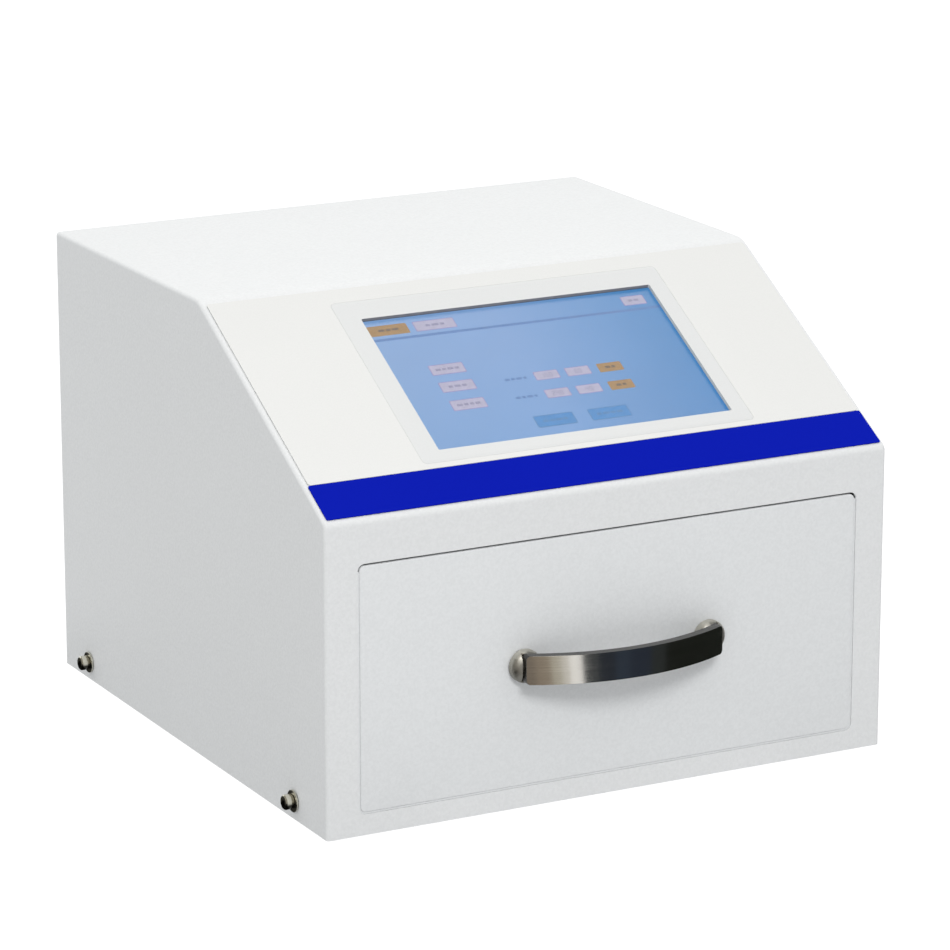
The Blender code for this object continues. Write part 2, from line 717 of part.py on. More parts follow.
def make_slides(cabinet, drawer, middles):
    """Three nested members a side; the middle one travels half as far as the drawer."""
    front, back = SLIDE_Y
    step = 2 * (SLIDE_WEB + SLIDE_CLEARANCE)
    for side, sign in SIDES.items():
        outer = channel(sign, SLIDE_OUTER_X, SLIDE_INNER_X + 0.0014, SLIDE_HEIGHT, front, back)
        part(f"slide_outer_{side}", outer, "galvanised", cabinet)
        web = SLIDE_OUTER_X - 0.0040
        middle = channel(sign, web, SLIDE_INNER_X + 0.0018, SLIDE_HEIGHT - step, front, back - 0.010)
        part(f"slide_middle_{side}", middle, "galvanised", middles[side])
        start = BOX_Y[0] + THIN_SHEET + GAP
        height = SLIDE_HEIGHT - 2 * step
        inner = channel(sign, SLIDE_INNER_X, SLIDE_INNER_X + 0.0036, height, start, back - 0.008)
        part(f"slide_inner_{side}", inner, "galvanised", drawer)


# Chassis


def make_side_frames(cabinet):
    """Two upright plates with flanges turned out at the foot and the top."""
    low, high = FRAME_Z
    near = FRAME_X
    far = FRAME_X + FRAME_FLANGE
    outline = [
        (near, low),
        (far, low),
        (far, low + SHEET),
        (near + SHEET, low + SHEET),
        (near + SHEET, high - SHEET),
        (far, high - SHEET),
        (far, high),
        (near, high),
    ]
    for side, sign in SIDES.items():
        profile = [(sign * x, z) for x, z in outline]
        part(f"side_frame_{side}", prism("Y", profile, *FRAME_Y), "galvanised", cabinet)


def make_bulkhead(cabinet):
    """The upright plate behind the cover's front frame, with the hole that the drawer box passes."""
    low = SHEET + GAP
    plate = block((-BULKHEAD_HALF, BULKHEAD_Y, low), (BULKHEAD_HALF, BULKHEAD_Y + SHEET, BULKHEAD_TOP))
    plate = part("front_bulkhead", plate, "galvanised", cabinet)
    half = BULKHEAD_HOLE_HALF
    cut(plate, block((-half, 0, BULKHEAD_HOLE_Z[0]), (half, 2 * BULKHEAD_Y, BULKHEAD_HOLE_Z[1])))


def make_deck(cabinet):
    """The plate that keeps the electronics off the hot zone."""
    low = (-DECK_HALF, DECK_Y[0], DECK_Z)
    high = (DECK_HALF, DECK_Y[1], DECK_Z + SHEET)
    part("electronics_deck", block(low, high), "galvanised", cabinet)


# Heater


def make_hood(cabinet):
    """The reflector: a shallow box open towards the drawer, under its insulating blanket."""
    front, back = HOOD_Y
    low, high = HOOD_Z
    hood = block((-HOOD_HALF, front, low), (HOOD_HALF, back, high))
    hood = part("heater_hood", hood, "stainless", cabinet)
    inside = HOOD_HALF - HOOD_SHEET
    cut(hood, block((-inside, front + HOOD_SHEET, 0), (inside, back - HOOD_SHEET, high - HOOD_SHEET)))
    probe_hole = PROBE_RADIUS + GAP
    cut(hood, rod("Y", (PROBE_X, PROBE_Z), probe_hole, back - 0.005, back + 0.005))
    top_low, top_high = BLANKET_Z
    blanket = block((-HOOD_HALF, front, top_low), (HOOD_HALF, BLANKET_BACK, top_high))
    blanket = part("hood_blanket", blanket, "insulation", cabinet)
    join(blanket, block((-HOOD_HALF, back + GAP, low), (HOOD_HALF, BLANKET_BACK, top_low + GAP)))
    cut(blanket, rod("Y", (PROBE_X, PROBE_Z), probe_hole, back - 0.005, BLANKET_BACK + 0.005))


def make_tubes(cabinet):
    """Quartz heater tubes across the hood, their ends in two ceramic holders."""
    pitch = (HOLDER_Y[1] - HOLDER_Y[0]) / TUBES
    places = [HOLDER_Y[0] + pitch * (index + 0.5) for index in range(TUBES)]
    tip = 0.0008
    profile = [
        (TUBE_RADIUS - tip, -TUBE_HALF),
        (TUBE_RADIUS, tip - TUBE_HALF),
        (TUBE_RADIUS, TUBE_HALF - tip),
        (TUBE_RADIUS - tip, TUBE_HALF),
    ]
    for index, y in enumerate(places, start=1):
        part(f"quartz_tube_{index}", turned(profile, "X", steps=16), "quartz", cabinet, (0, y, TUBE_Z))
    for side, sign in SIDES.items():
        low = (HOLDER_X[0], HOLDER_Y[0], HOLDER_Z[0])
        high = (HOLDER_X[1], HOLDER_Y[1], HOLDER_Z[1])
        holder = part(f"tube_holder_{side}", mirrored_block(sign, low, high), "ceramic", cabinet)
        reach = 2 * HOLDER_X[1]
        holes = [rod("X", (y, TUBE_Z), TUBE_HOLE, -reach, reach) for y in places]
        cut(holder, merged(*holes))


def make_thermocouple(cabinet):
    """A sheathed probe through the hood's back wall, held by its hexagonal gland."""
    back = BLANKET_BACK + GAP
    profile = [
        (PROBE_RADIUS * 0.5, 0.206),
        (PROBE_RADIUS, 0.2075),
        (PROBE_RADIUS, back),
        (0.0050, back),
        (0.0050, back + 0.0050),
        (0.0022, back + 0.0050),
        (0.0022, back + 0.0110),
    ]
    probe = turned(profile, "Y", steps=12)
    part("thermocouple", probe, "stainless", cabinet, (PROBE_X, 0, PROBE_Z))


# Rear


def make_fan(cabinet, spinner):
    """An axial fan inside the rear panel: a frame with struts, a seven-blade rotor and a wire guard."""
    back = REAR_Y - GAP
    front = back - FAN_DEPTH
    outline = rectangle((0, FAN_Z), (FAN_SIZE, FAN_SIZE), 0.004, 3)
    frame = part("fan_frame", prism("Y", outline, front, back), "black_plastic", cabinet)
    cut(frame, rod("Y", (0, FAN_Z), FAN_HOLE - 0.0002, front - SHEET, back + SHEET, steps=40))
    corner = FAN_SIZE / 2 - 0.0043
    holes = []
    for across in SIDES.values():
        for up in SIDES.values():
            middle = (across * corner, FAN_Z + up * corner)
            holes.append(rod("Y", middle, SCREW_HOLE, front - SHEET, back + SHEET, steps=10))
    cut(frame, merged(*holes))
    motor = rod("Y", (0, FAN_Z), FAN_HUB, front, front + 0.004, steps=24)
    reach = FAN_HOLE + 0.001
    half = 0.0015
    strut = block((-reach, front + 0.0004, FAN_Z - half), (reach, front + 0.0030, FAN_Z + half))
    upright = block((-half, front + 0.0006, FAN_Z - reach), (half, front + 0.0032, FAN_Z + reach))
    join(frame, motor, strut, upright)
    make_fan_rotor(spinner, front + 0.0050, back - 0.0015)


def make_fan_rotor(spinner, front, back):
    """The hub and its twisted blades, about the spinner's Y axis."""
    length = back - front
    edge = 0.0010
    hub = [(FAN_HUB, 0), (FAN_HUB, length - edge), (FAN_HUB - edge, length)]
    rotor = turned(hub, "Y", steps=28)
    rotor.transform(Matrix.Translation((0, front, 0)))
    rotor = part("fan_rotor", rotor, "black_plastic", spinner)
    turns = [2 * math.pi * index / FAN_BLADES for index in range(FAN_BLADES)]
    join(rotor, merged(*[fan_blade(turn, front + length / 2) for turn in turns]))


def fan_blade(turn, middle):
    """One blade: a thin plate from the hub to near the frame, flatter towards its tip."""
    solid = bmesh.new()
    stations = 4
    rings = []
    for station in range(stations):
        share = station / (stations - 1)
        radius = FAN_HUB - 0.002 + share * (FAN_HOLE - 0.0015 - FAN_HUB + 0.002)
        pitch = math.radians(48 - 16 * share)
        half_chord = 0.0105 + 0.0035 * share
        half_thick = 0.0006
        ring = []
        for along, off in ((-1, -1), (1, -1), (1, 1), (-1, 1)):
            across = along * half_chord * math.cos(pitch) - off * half_thick * math.sin(pitch)
            depth = along * half_chord * math.sin(pitch) * 0.62 + off * half_thick * math.cos(pitch)
            angle = turn + across / radius
            point = (radius * math.cos(angle), middle + depth, radius * math.sin(angle))
            ring.append(solid.verts.new(point))
        rings.append(ring)
    for lower, upper in zip(rings, rings[1:]):
        for step in range(4):
            after = (step + 1) % 4
            solid.faces.new((lower[step], lower[after], upper[after], upper[step]))
    solid.faces.new(rings[0])
    solid.faces.new(rings[-1])
    return as_mesh(solid)


def wire_ring(radius, steps=36, sides=6):
    """A ring of round wire about the Y axis."""
    loop = []
    for side in range(sides):
        turn = 2 * math.pi * side / sides
        loop.append((radius + GUARD_WIRE * math.cos(turn), GUARD_WIRE * math.sin(turn)))
    return turned(loop, "Y", steps=steps, hollow=True)


def make_guard(cabinet):
    """The finger guard: wire rings on four spokes that end at the fan's corner screws."""
    at = (0, DEPTH + REAR_PROUD - GUARD_WIRE * math.sin(math.pi / 3), FAN_Z)
    guard = part("fan_guard", wire_ring(GUARD_RINGS[0], 24), "zinc_screw", cabinet, at)
    join(guard, wire_ring(GUARD_RINGS[1], 30), wire_ring(GUARD_RINGS[2], 36))
    drop = -1.5 * GUARD_WIRE
    for turn in (math.pi / 4, -math.pi / 4):
        spoke = rod("X", (drop, 0), GUARD_WIRE, -GUARD_REACH, GUARD_REACH, steps=6)
        spoke.transform(Matrix.Rotation(turn, 4, "Y"))
        join(guard, spoke)


def make_inlet(cabinet, fuse_slide, rocker_pivot):
    """A mains inlet module: socket below, fuse drawer in the middle and rocker switch above."""
    middle = (INLET_X, INLET_Z)
    seat = DEPTH + GAP
    body_front = DEPTH - INLET_DEPTH
    flange = prism("Y", rectangle(middle, INLET_FLANGE, 0.003), seat, seat + INLET_FLANGE_THICKNESS)
    module = part("inlet_module", flange, "black_plastic", cabinet)
    join(module, prism("Y", rectangle(middle, INLET_BODY), body_front, seat + GAP))
    face = seat + INLET_FLANGE_THICKNESS
    width, height = SOCKET_SIZE
    socket_z = INLET_Z + SOCKET_RISE
    left, right = INLET_X - width / 2, INLET_X + width / 2
    low, high = socket_z - height / 2, socket_z + height / 2
    chamfer = 0.0050
    outline = [(left, low), (right, low), (right, high - chamfer)]
    outline += [(right - chamfer, high), (left + chamfer, high), (left, high - chamfer)]
    cut(module, prism("Y", outline, face - SOCKET_DEPTH, face + SHEET))
    pins = []
    for offset, lift in ((-PIN_SPACING, -0.0015), (0, 0.0025), (PIN_SPACING, -0.0015)):
        x, z = INLET_X + offset, socket_z + lift
        low_corner = (x - PIN_SIZE[0] / 2, face - SOCKET_DEPTH - SHEET, z - PIN_SIZE[1] / 2)
        high_corner = (x + PIN_SIZE[0] / 2, face - SHEET, z + PIN_SIZE[1] / 2)
        pins.append(block(low_corner, high_corner))
    join(module, merged(*pins))
    make_fuse_drawer(module, fuse_slide, face)
    make_rocker(module, rocker_pivot)


def make_fuse_drawer(module, fuse_slide, face):
    middle = (INLET_X, INLET_Z + FUSE_RISE)
    pocket = (FUSE_SIZE[0] + 2 * GAP, FUSE_SIZE[1] + 2 * GAP)
    cut(module, prism("Y", rectangle(middle, pocket), face - FUSE_DEPTH - GAP, face + SHEET))
    drawer = prism("Y", rectangle((0, 0), FUSE_SIZE), face - FUSE_DEPTH, face + 0.0010)
    drawer.transform(Matrix.Translation((0, -face, 0)))
    drawer = part("fuse_drawer", drawer, "black_plastic", fuse_slide)
    grip = rectangle((0, FUSE_SIZE[1] / 2), (0.0070, 0.0030), 0.0008, 2)
    cut(drawer, prism("Y", grip, -0.0010, 0.0020))


def make_rocker(module, rocker_pivot):
    """The switch's rocker, at rest tilted to its off side, in a pocket that clears its full swing."""
    width, height = ROCKER_SIZE
    pocket = (width + 4 * GAP, height + 2 * ROCKER_CLEARANCE)
    middle = (INLET_X, INLET_Z + ROCKER_RISE)
    cut(module, prism("Y", rectangle(middle, pocket), ROCKER_PIVOT_Y - 0.0080, DEPTH + 0.0060))
    tip = 0.0052
    half = height / 2
    waist = 0.0036
    foot = (-0.0035, 0.0030)
    outline = [(foot[0], -foot[1]), foot, (0, half), (tip, half), (waist, 0), (tip, -half), (0, -half)]
    part("rocker_switch", prism("X", outline, -width / 2, width / 2), "rocker_red", rocker_pivot)


# Electronics on the deck


def make_electronics(cabinet):
    floor = DECK_Z + SHEET + GAP
    low, high = (-0.128, 0.182, floor), (-0.029, 0.264, floor + 0.030)
    supply = part("power_supply", block(low, high), "galvanised", cabinet)
    inside_low = Vector(low) + Vector((THIN_SHEET, THIN_SHEET, -THIN_SHEET))
    cut(supply, block(inside_low, Vector(high) - Vector((THIN_SHEET,) * 3)))
    relay = block((0.010, 0.215, floor), (0.055, 0.275, floor + 0.023))
    relay = part("solid_state_relay", relay, "relay_case", cabinet)
    notches = []
    for side in SIDES.values():
        notches.append(rod("Z", (0.0325, 0.245 + side * 0.030), 0.0045, 0, HEIGHT, steps=12))
    cut(relay, merged(*notches))
    make_control_board(cabinet, floor)


def make_control_board(cabinet, floor):
    """The control board on four standoffs, with its terminals, relays and processor."""
    low, high = (0.012, 0.120), (0.126, 0.200)
    plate = floor + 0.006
    board = block((*low, plate), (*high, plate + BOARD_THICKNESS))
    board = part("control_board", board, "circuit_board", cabinet)
    inset = 0.005
    top = plate + BOARD_THICKNESS - GAP
    fittings = []
    for x in (low[0] + inset, high[0] - inset):
        for y in (low[1] + inset, high[1] - inset):
            fittings.append(rod("Z", (x, y), 0.0028, floor, plate + GAP, steps=8))
    for x, y, width, depth, rise in (
        (0.020, 0.187, 0.080, 0.010, 0.011),
        (0.030, 0.160, 0.019, 0.016, 0.015),
        (0.055, 0.160, 0.019, 0.016, 0.015),
        (0.085, 0.145, 0.014, 0.014, 0.0018),
    ):
        fittings.append(block((x, y, top), (x + width, y + depth, top + rise)))
    join(board, merged(*fittings))


def make_oven():
    clear_scene()
    front_y = -(DEPTH + REAR_PROUD - HANDLE_REACH) / 2
    cabinet = empty("cabinet", None, (0, front_y, FOOT_HEIGHT))
    panel = empty("panel_slope", cabinet, (0, 0, FRONT_HEIGHT), (SLOPE, 0, 0))
    drawer = empty("drawer_axis", cabinet)
    middles = {side: empty(f"slide_axis_{side}", cabinet) for side in SIDES}
    spinner = empty("fan_axis", cabinet, (0, 0, FAN_Z))
    face = DEPTH + GAP + INLET_FLANGE_THICKNESS
    fuse_slide = empty("fuse_axis", cabinet, (INLET_X, face, INLET_Z + FUSE_RISE))
    rocker_at = (INLET_X, ROCKER_PIVOT_Y, INLET_Z + ROCKER_RISE)
    rocker_pivot = empty("rocker_axis", cabinet, rocker_at, (ROCKER_TILT, 0, 0))
    bpy.context.view_layer.update()

    make_cover(cabinet, panel)
    make_base(cabinet)
    make_rear_panel(cabinet)
    make_feet(cabinet)
    make_side_screws(cabinet)
    make_overlay(panel)
    make_bezel(panel)
    make_display(panel)
    make_drawer_front(drawer)
    make_drawer_box(drawer)
    make_rack(drawer)
    make_gasket(drawer)
    make_handle(drawer)
    make_slides(cabinet, drawer, middles)
    make_side_frames(cabinet)
    make_bulkhead(cabinet)
    make_deck(cabinet)
    make_hood(cabinet)
    make_tubes(cabinet)
    make_thermocouple(cabinet)
    make_fan(cabinet, spinner)
    make_guard(cabinet)
    make_inlet(cabinet, fuse_slide, rocker_pivot)
    make_electronics(cabinet)


make_oven()
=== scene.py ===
"""The looks of a bench-top reflow oven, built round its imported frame. Metres, +Z up, the front faces -Y.

Most pieces are made in the cabinet's own coordinates: x across, y back from the front face and z up from
the cabinet's lower edge. Pieces of the control panel use slope coordinates: x, s up the slope and n out.
"""

import math

import bmesh
import bpy
from mathutils import Matrix, Vector


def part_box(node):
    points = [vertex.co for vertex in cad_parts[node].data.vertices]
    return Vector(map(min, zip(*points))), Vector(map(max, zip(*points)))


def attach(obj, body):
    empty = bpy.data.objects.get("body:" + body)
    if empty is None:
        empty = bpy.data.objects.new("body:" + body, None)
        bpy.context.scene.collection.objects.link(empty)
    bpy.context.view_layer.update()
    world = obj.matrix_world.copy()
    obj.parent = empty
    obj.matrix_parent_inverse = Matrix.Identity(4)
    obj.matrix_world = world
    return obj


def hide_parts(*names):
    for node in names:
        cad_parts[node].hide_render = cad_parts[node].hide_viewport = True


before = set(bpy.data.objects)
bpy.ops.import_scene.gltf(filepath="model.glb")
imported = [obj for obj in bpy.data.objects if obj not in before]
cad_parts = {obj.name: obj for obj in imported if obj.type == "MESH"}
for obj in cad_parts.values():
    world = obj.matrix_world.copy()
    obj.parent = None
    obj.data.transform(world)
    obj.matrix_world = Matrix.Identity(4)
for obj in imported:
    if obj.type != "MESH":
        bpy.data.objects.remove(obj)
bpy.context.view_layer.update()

# The cabinet's place and size come from its cover in the frame
COVER_LOW, COVER_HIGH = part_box("outer_cover")
HALF = COVER_HIGH.x
DEPTH = COVER_HIGH.y - COVER_LOW.y
HEIGHT = COVER_HIGH.z - COVER_LOW.z
FRONT_HEIGHT = 0.146
TOP_FRONT = 0.131
SLOPE = math.atan2(HEIGHT - FRONT_HEIGHT, TOP_FRONT)
CABINET = Matrix.Translation((0, COVER_LOW.y, COVER_LOW.z))
PANEL = CABINET @ Matrix.Translation((0, 0, FRONT_HEIGHT)) @ Matrix.Rotation(SLOPE, 4, "X")

SHEET = 0.0015
GAP = 0.0003  # between pieces that touch
FRONT_BEND = 0.004
TOP_BEND = 0.016
EDGE_ROUND = 0.0018
BRIM = 0.0003  # the rounding of cut and folded edges

# Feet and side screws
FOOT_HEIGHT = 0.006
FOOT_RADIUS = 0.009
FOOT_X = 0.100
FOOT_Y = {"front": 0.045, "rear": 0.250}
SIDE_SCREW_Y = {"front": 0.0339, "rear": 0.2667}
SIDE_SCREW_Z = 0.0088
SCREW_HOLE = 0.0023
SCREW_HEAD = 0.0035
SCREW_HEAD_HEIGHT = 0.0040
WASHER_RADIUS = 0.0052
WASHER_THICKNESS = 0.0008

# Control panel
FILM = 0.0004
STRIPE_S = (0.0024, 0.0242)
STRIPE_HALF = 0.1430
OVERLAY_HALF = 0.1424
OVERLAY_TOP = 0.1460
BEZEL_AT = (0.0020, 0.0822)
BEZEL_SIZE = (0.172, 0.109)
BEZEL_CORNER = 0.0025
BEZEL_POCKET = (0.167, 0.104)
BEZEL_FLANGE = (0.184, 0.119)
BEZEL_FACE = 0.00180
BEZEL_SLOPE = (0.0018, 0.00025)  # the width and the rise of its soft outer border
CLOSE = 0.00005  # the gap to a piece that is pressed into its seat
BEZEL_BACK = -0.0090
WINDOW_AT = (0.0031, 0.0797)
WINDOW_SIZE = (0.1526, 0.0890)
GLASS_TOP = -0.0009
GLASS_THICKNESS = 0.0007
LCD_TOP = -0.0019
LCD_THICKNESS = 0.0050

# Drawer and handle
DRAWER_HALF = 0.1282
DRAWER_Z = (0.0107, 0.1250)
DRAWER_GAP = 0.0010
DRAWER_CORNER = 0.0025
DRAWER_DEPTH = 0.014
DRAWER_EDGE = 0.0006
LIP_Y = (0.0005, 0.0030)
LIP_CLEAR = 0.0001
HANDLE_X = 0.0017
HANDLE_Z = 0.0678
HANDLE_SPACING = 0.096
HANDLE_REACH = 0.0215
BOW_RADIUS = 0.108
BOW_THICKNESS = 0.0045
BOW_HEIGHT = 0.0136
BOW_HALF = 0.0512
BOW_CORNER = 0.0022
POST_RADIUS = 0.0078
POST_HEIGHT = 0.0060
GASKET_HALF = 0.1245
GASKET_WIDTH = 0.0050
GASKET_Z = (0.0120, 0.0955)
GASKET_Y = (0.0156, 0.0198)

# Heater tubes
TUBE_Y = (0.0555, 0.1065, 0.1575, 0.2085)
TUBE_Z = 0.105
TUBE_RADIUS = 0.005
TUBE_HALF = 0.112

# Rear
REAR_Y = DEPTH - SHEET
REAR_HALF = HALF - SHEET - GAP
FAN_Z = 0.066
FAN_SIZE = 0.080
FAN_FRONT = REAR_Y - GAP - 0.025
FAN_HOLE = 0.038
FAN_BLADES = 7
FAN_HUB = 0.0165
FAN_SCREWS = 0.0357
GUARD_WIRE = 0.0010
GUARD_RINGS = (0.012, 0.024, 0.036)
GUARD_REACH = 0.0505
GUARD_Y = 0.2991
INLET_AT = (-0.095, 0.066)
INLET_FLANGE = (0.031, 0.051)
INLET_BODY = (0.027, 0.047)
INLET_FACE = DEPTH + GAP + 0.0024
SOCKET_SIZE = (0.0242, 0.0168)
SOCKET_RISE = -0.0135
SOCKET_DEPTH = 0.0150
FUSE_RISE = -0.0008
FUSE_SIZE = (0.0200, 0.0056)
FUSE_DEPTH = 0.0180
ROCKER_RISE = 0.0129
ROCKER_SIZE = (0.0200, 0.0160)
ROCKER_TILT = math.radians(12)
ROCKER_PIVOT_Y = DEPTH - 0.0032

BOARD_FACE = 0.0077  # the control board's upper face above its lowest point
SLIDE_PARTS = ("outer", "middle", "inner")
SIDES = {"left": -1, "right": 1}
SHARP = math.radians(35)  # a bend by more than this is an edge
TURN = {"X": Matrix.Rotation(math.pi / 2, 4, "Y"), "Y": Matrix.Rotation(-math.pi / 2, 4, "X")}
FINISHES = {}  # filled by make_finishes


# Camera, floor and light


def new_object(name, data):
    item = bpy.data.objects.new(name, data)
    bpy.context.scene.collection.objects.link(item)
    return item


def make_camera():
    camera = bpy.data.cameras.new("camera")
    camera.lens = 172.336
    camera.sensor_width = 36
    item = new_object("camera", camera)
    item.location = (-0.9765, -1.85403, 0.69537)
    item.rotation_euler = [math.radians(angle) for angle in (74.7157, -0.0077, -27.8368)]
    bpy.context.scene.camera = item


def make_world():
    """A studio sky: brightest overhead, dim in front and a little dimmer to the left."""
    world = bpy.data.worlds.new("studio")
    bpy.context.scene.world = world
    world.use_nodes = True
    tree = world.node_tree
    facing = split(tree, add(tree, "ShaderNodeTexCoord").outputs["Generated"])
    height = ramp(tree, facing["Z"], ((0.0, (0.785, 0.820, 0.840)), (1.0, (1.215, 1.205, 1.185))))
    side = ramp(tree, share(tree, facing["X"], -1.0, 1.0), ((0.0, 0.888), (0.5, 1.0)))
    front = ramp(tree, share(tree, facing["Y"], -1.0, 1.0), ((0.0, 0.31), (0.5, 1.0), (1.0, 1.10)))
    background = tree.nodes["Background"]
    wire(tree, background, "Color", multiply(tree, height, multiply(tree, side, front)))
    background.inputs["Strength"].default_value = 1.0


def make_floor():
    """White paper, lit from below so that it stays white to the camera without flooding the oven."""
    size = 30.0
    mesh = bpy.data.meshes.new("floor")
    corners = [(-size, -size, 0), (size, -size, 0), (size, size, 0), (-size, size, 0)]
    mesh.from_pydata(corners, [], [(0, 1, 2, 3)])
    floor = new_object("floor", mesh)
    material, tree, shader = surface(
        "floor_paper", (0.15, 0.154, 0.158), 0.9, Specular_IOR_Level=0.0, Emission_Color=(1, 1, 1, 1)
    )
    seen = add(tree, "ShaderNodeLightPath").outputs["Is Camera Ray"]
    glow = add(tree, "ShaderNodeMapRange", Value=seen, To_Min=0.57, To_Max=1.0)
    wire(tree, shader, "Emission Strength", glow.outputs[0])
    mesh.materials.append(material)


def make_softbox():
    light = bpy.data.lights.new("softbox", "AREA")
    light.shape = "RECTANGLE"
    light.size = 0.7
    light.size_y = 0.55
    light.energy = 17.9
    item = new_object("softbox", light)
    item.location = (-0.33, -1.78, 1.50)
    aim = Vector((0, 0, 0.1)) - item.location
    item.rotation_euler = aim.to_track_quat("-Z", "Y").to_euler()


# What the handle and the screws mirror: (start, end) in degrees from -Y towards +X, and the colour
MIRROR_CARDS = (
    (-150, -50, (0.28, 0.27, 0.24)),
    (-50, -35, (0.21, 0.18, 0.15)),
    (-35, -26, (0.30, 0.255, 0.205)),
    (-26, -20, (0.50, 0.48, 0.41)),
    (-20, -15, (0.71, 0.70, 0.66)),
    (-15, -7, (1.05, 1.06, 1.07)),
    (-7, 3, (0.055, 0.062, 0.068)),
    (3, 14, (0.020, 0.026, 0.037)),
    (14, 24, (0.028, 0.040, 0.062)),
    (24, 38, (0.021, 0.029, 0.047)),
    (38, 48, (0.026, 0.031, 0.032)),
    (48, 110, (0.009, 0.011, 0.009)),
)


def make_mirror_cards():
    """Cards on the floor and standing round the front, seen only in reflections."""
    centre = CABINET @ Vector((HANDLE_X, -HANDLE_REACH, -FOOT_HEIGHT + 0.002))
    profile = ((0.10, 0.0), (0.60, 0.0), (0.62, 0.02), (0.62, 0.45), (0.50, 0.75), (0.25, 0.92))
    strip = bmesh.new()
    corners = [(-HALF - 0.09, 0.35), (-HALF + 0.06, 0.35), (-HALF + 0.06, -0.14), (-HALF - 0.09, -0.14)]
    strip.faces.new([strip.verts.new(CABINET @ Vector((x, y, 0.003 - FOOT_HEIGHT))) for x, y in corners])
    add_card("floor", strip, (0.025, 0.025, 0.022))
    for number, (start, end, colour) in enumerate(MIRROR_CARDS, start=1):
        steps = max(2, round((end - start) / 3))
        solid = bmesh.new()
        rings = []
        for step in range(steps + 1):
            turn = math.radians(start + (end - start) * step / steps)
            ring = []
            for reach, height in profile:
                point = Vector((reach * math.sin(turn), -reach * math.cos(turn), height))
                ring.append(solid.verts.new(centre + point))
            rings.append(ring)
        for one, two in zip(rings, rings[1:]):
            for low in range(len(profile) - 1):
                solid.faces.new((one[low], two[low], two[low + 1], one[low + 1]))
        add_card(number, solid, colour)


def add_card(name, solid, colour):
    mesh = bpy.data.meshes.new("card")
    solid.to_mesh(mesh)
    solid.free()
    name = f"mirror_card_{name}"
    card = new_object(name, mesh)
    glow = {"Emission_Color": (*colour, 1), "Emission_Strength": 1.0}
    mesh.materials.append(surface(name, (0, 0, 0), 1.0, Specular_IOR_Level=0.0, **glow)[0])
    for ray in ("camera", "diffuse", "transmission", "shadow", "volume_scatter"):
        setattr(card, "visible_" + ray, False)


# Node helpers


def feed(tree, socket, value):
    """A socket set to a value or linked to another node's output."""
    if isinstance(value, bpy.types.NodeSocket):
        tree.links.new(value, socket)
    else:
        socket.default_value = value


def add(tree, kind, settings=(), **inputs):
    """A node with settings by name; an input is a value or another node's output."""
    node = tree.nodes.new(kind)
    for name, value in dict(settings).items():
        setattr(node, name, value)
    for name, value in inputs.items():
        feed(tree, node.inputs[name.replace("_", " ")], value)
    return node


def surface(name, colour, roughness, **inputs):
    """A new material, its node tree and its shader with its constant inputs."""
    made = bpy.data.materials.new(name)
    made.use_nodes = True
    shader = made.node_tree.nodes["Principled BSDF"]
    for socket, value in {"Base_Color": (*colour, 1), "Roughness": roughness, **inputs}.items():
        shader.inputs[socket.replace("_", " ")].default_value = value
    return made, made.node_tree, shader


def coordinates(tree, scale=(1, 1, 1), turn=(0, 0, 0)):
    """Places in metres on the piece, stretched by a scale."""
    place = add(tree, "ShaderNodeTexCoord").outputs["Object"]
    return add(tree, "ShaderNodeMapping", Vector=place, Scale=scale, Rotation=turn).outputs["Vector"]


def noise(tree, at, scale, detail=2.0, distortion=0.0):
    node = add(tree, "ShaderNodeTexNoise", Vector=at, Scale=scale, Detail=detail, Distortion=distortion)
    return node.outputs[0]


def cells(tree, at, scale, output="Distance", distance="EUCLIDEAN"):
    return add(tree, "ShaderNodeTexVoronoi", {"distance": distance}, Vector=at, Scale=scale).outputs[output]


def bands(tree, at, scale, direction):
    settings = {"wave_type": "BANDS", "bands_direction": direction}
    return add(tree, "ShaderNodeTexWave", settings, Vector=at, Scale=scale).outputs[1]


def split(tree, vector):
    """A vector's outputs by axis."""
    return add(tree, "ShaderNodeSeparateXYZ", Vector=vector).outputs


def share(tree, value, low, high):
    """How far a value is from low to high, from 0 to 1."""
    return add(tree, "ShaderNodeMapRange", Value=value, From_Min=low, From_Max=high).outputs[0]


def ramp(tree, value, stops):
    """A colour ramp; a stop is (place, colour) or (place, grey)."""
    node = add(tree, "ShaderNodeValToRGB", Fac=value)
    points = node.color_ramp.elements
    while len(points) < len(stops):
        points.new(0.5)
    for point, (place, colour) in zip(points, stops):
        point.position = place
        point.color = (*colour, 1) if isinstance(colour, tuple) else (colour, colour, colour, 1)
    return node.outputs["Color"]


def shades(tree, value, colour, *stops):
    """A ramp of a colour's shades; a stop is (place, factor)."""
    return ramp(tree, value, [(place, tint(colour, factor)) for place, factor in stops])


def mix(tree, one, two, mode="MIX", amount=1.0):
    node = add(tree, "ShaderNodeMix", {"data_type": "RGBA", "blend_type": mode})
    for number, value in ((0, amount), (6, one), (7, two)):
        feed(tree, node.inputs[number], value)
    return node.outputs[2]


def multiply(tree, one, two):
    return mix(tree, one, two, "MULTIPLY")


def arithmetic(tree, operation, one, two):
    node = add(tree, "ShaderNodeMath", {"operation": operation})
    feed(tree, node.inputs[0], one)
    feed(tree, node.inputs[1], two)
    return node.outputs[0]


def tint(colour, factor):
    return tuple(min(1.0, channel * factor) for channel in colour)


def bump(tree, shader, height, strength, distance):
    node = add(tree, "ShaderNodeBump", Height=height, Strength=strength, Distance=distance)
    tree.links.new(node.outputs["Normal"], shader.inputs["Normal"])


def wire(tree, shader, socket, value):
    tree.links.new(value, shader.inputs[socket])


# Materials


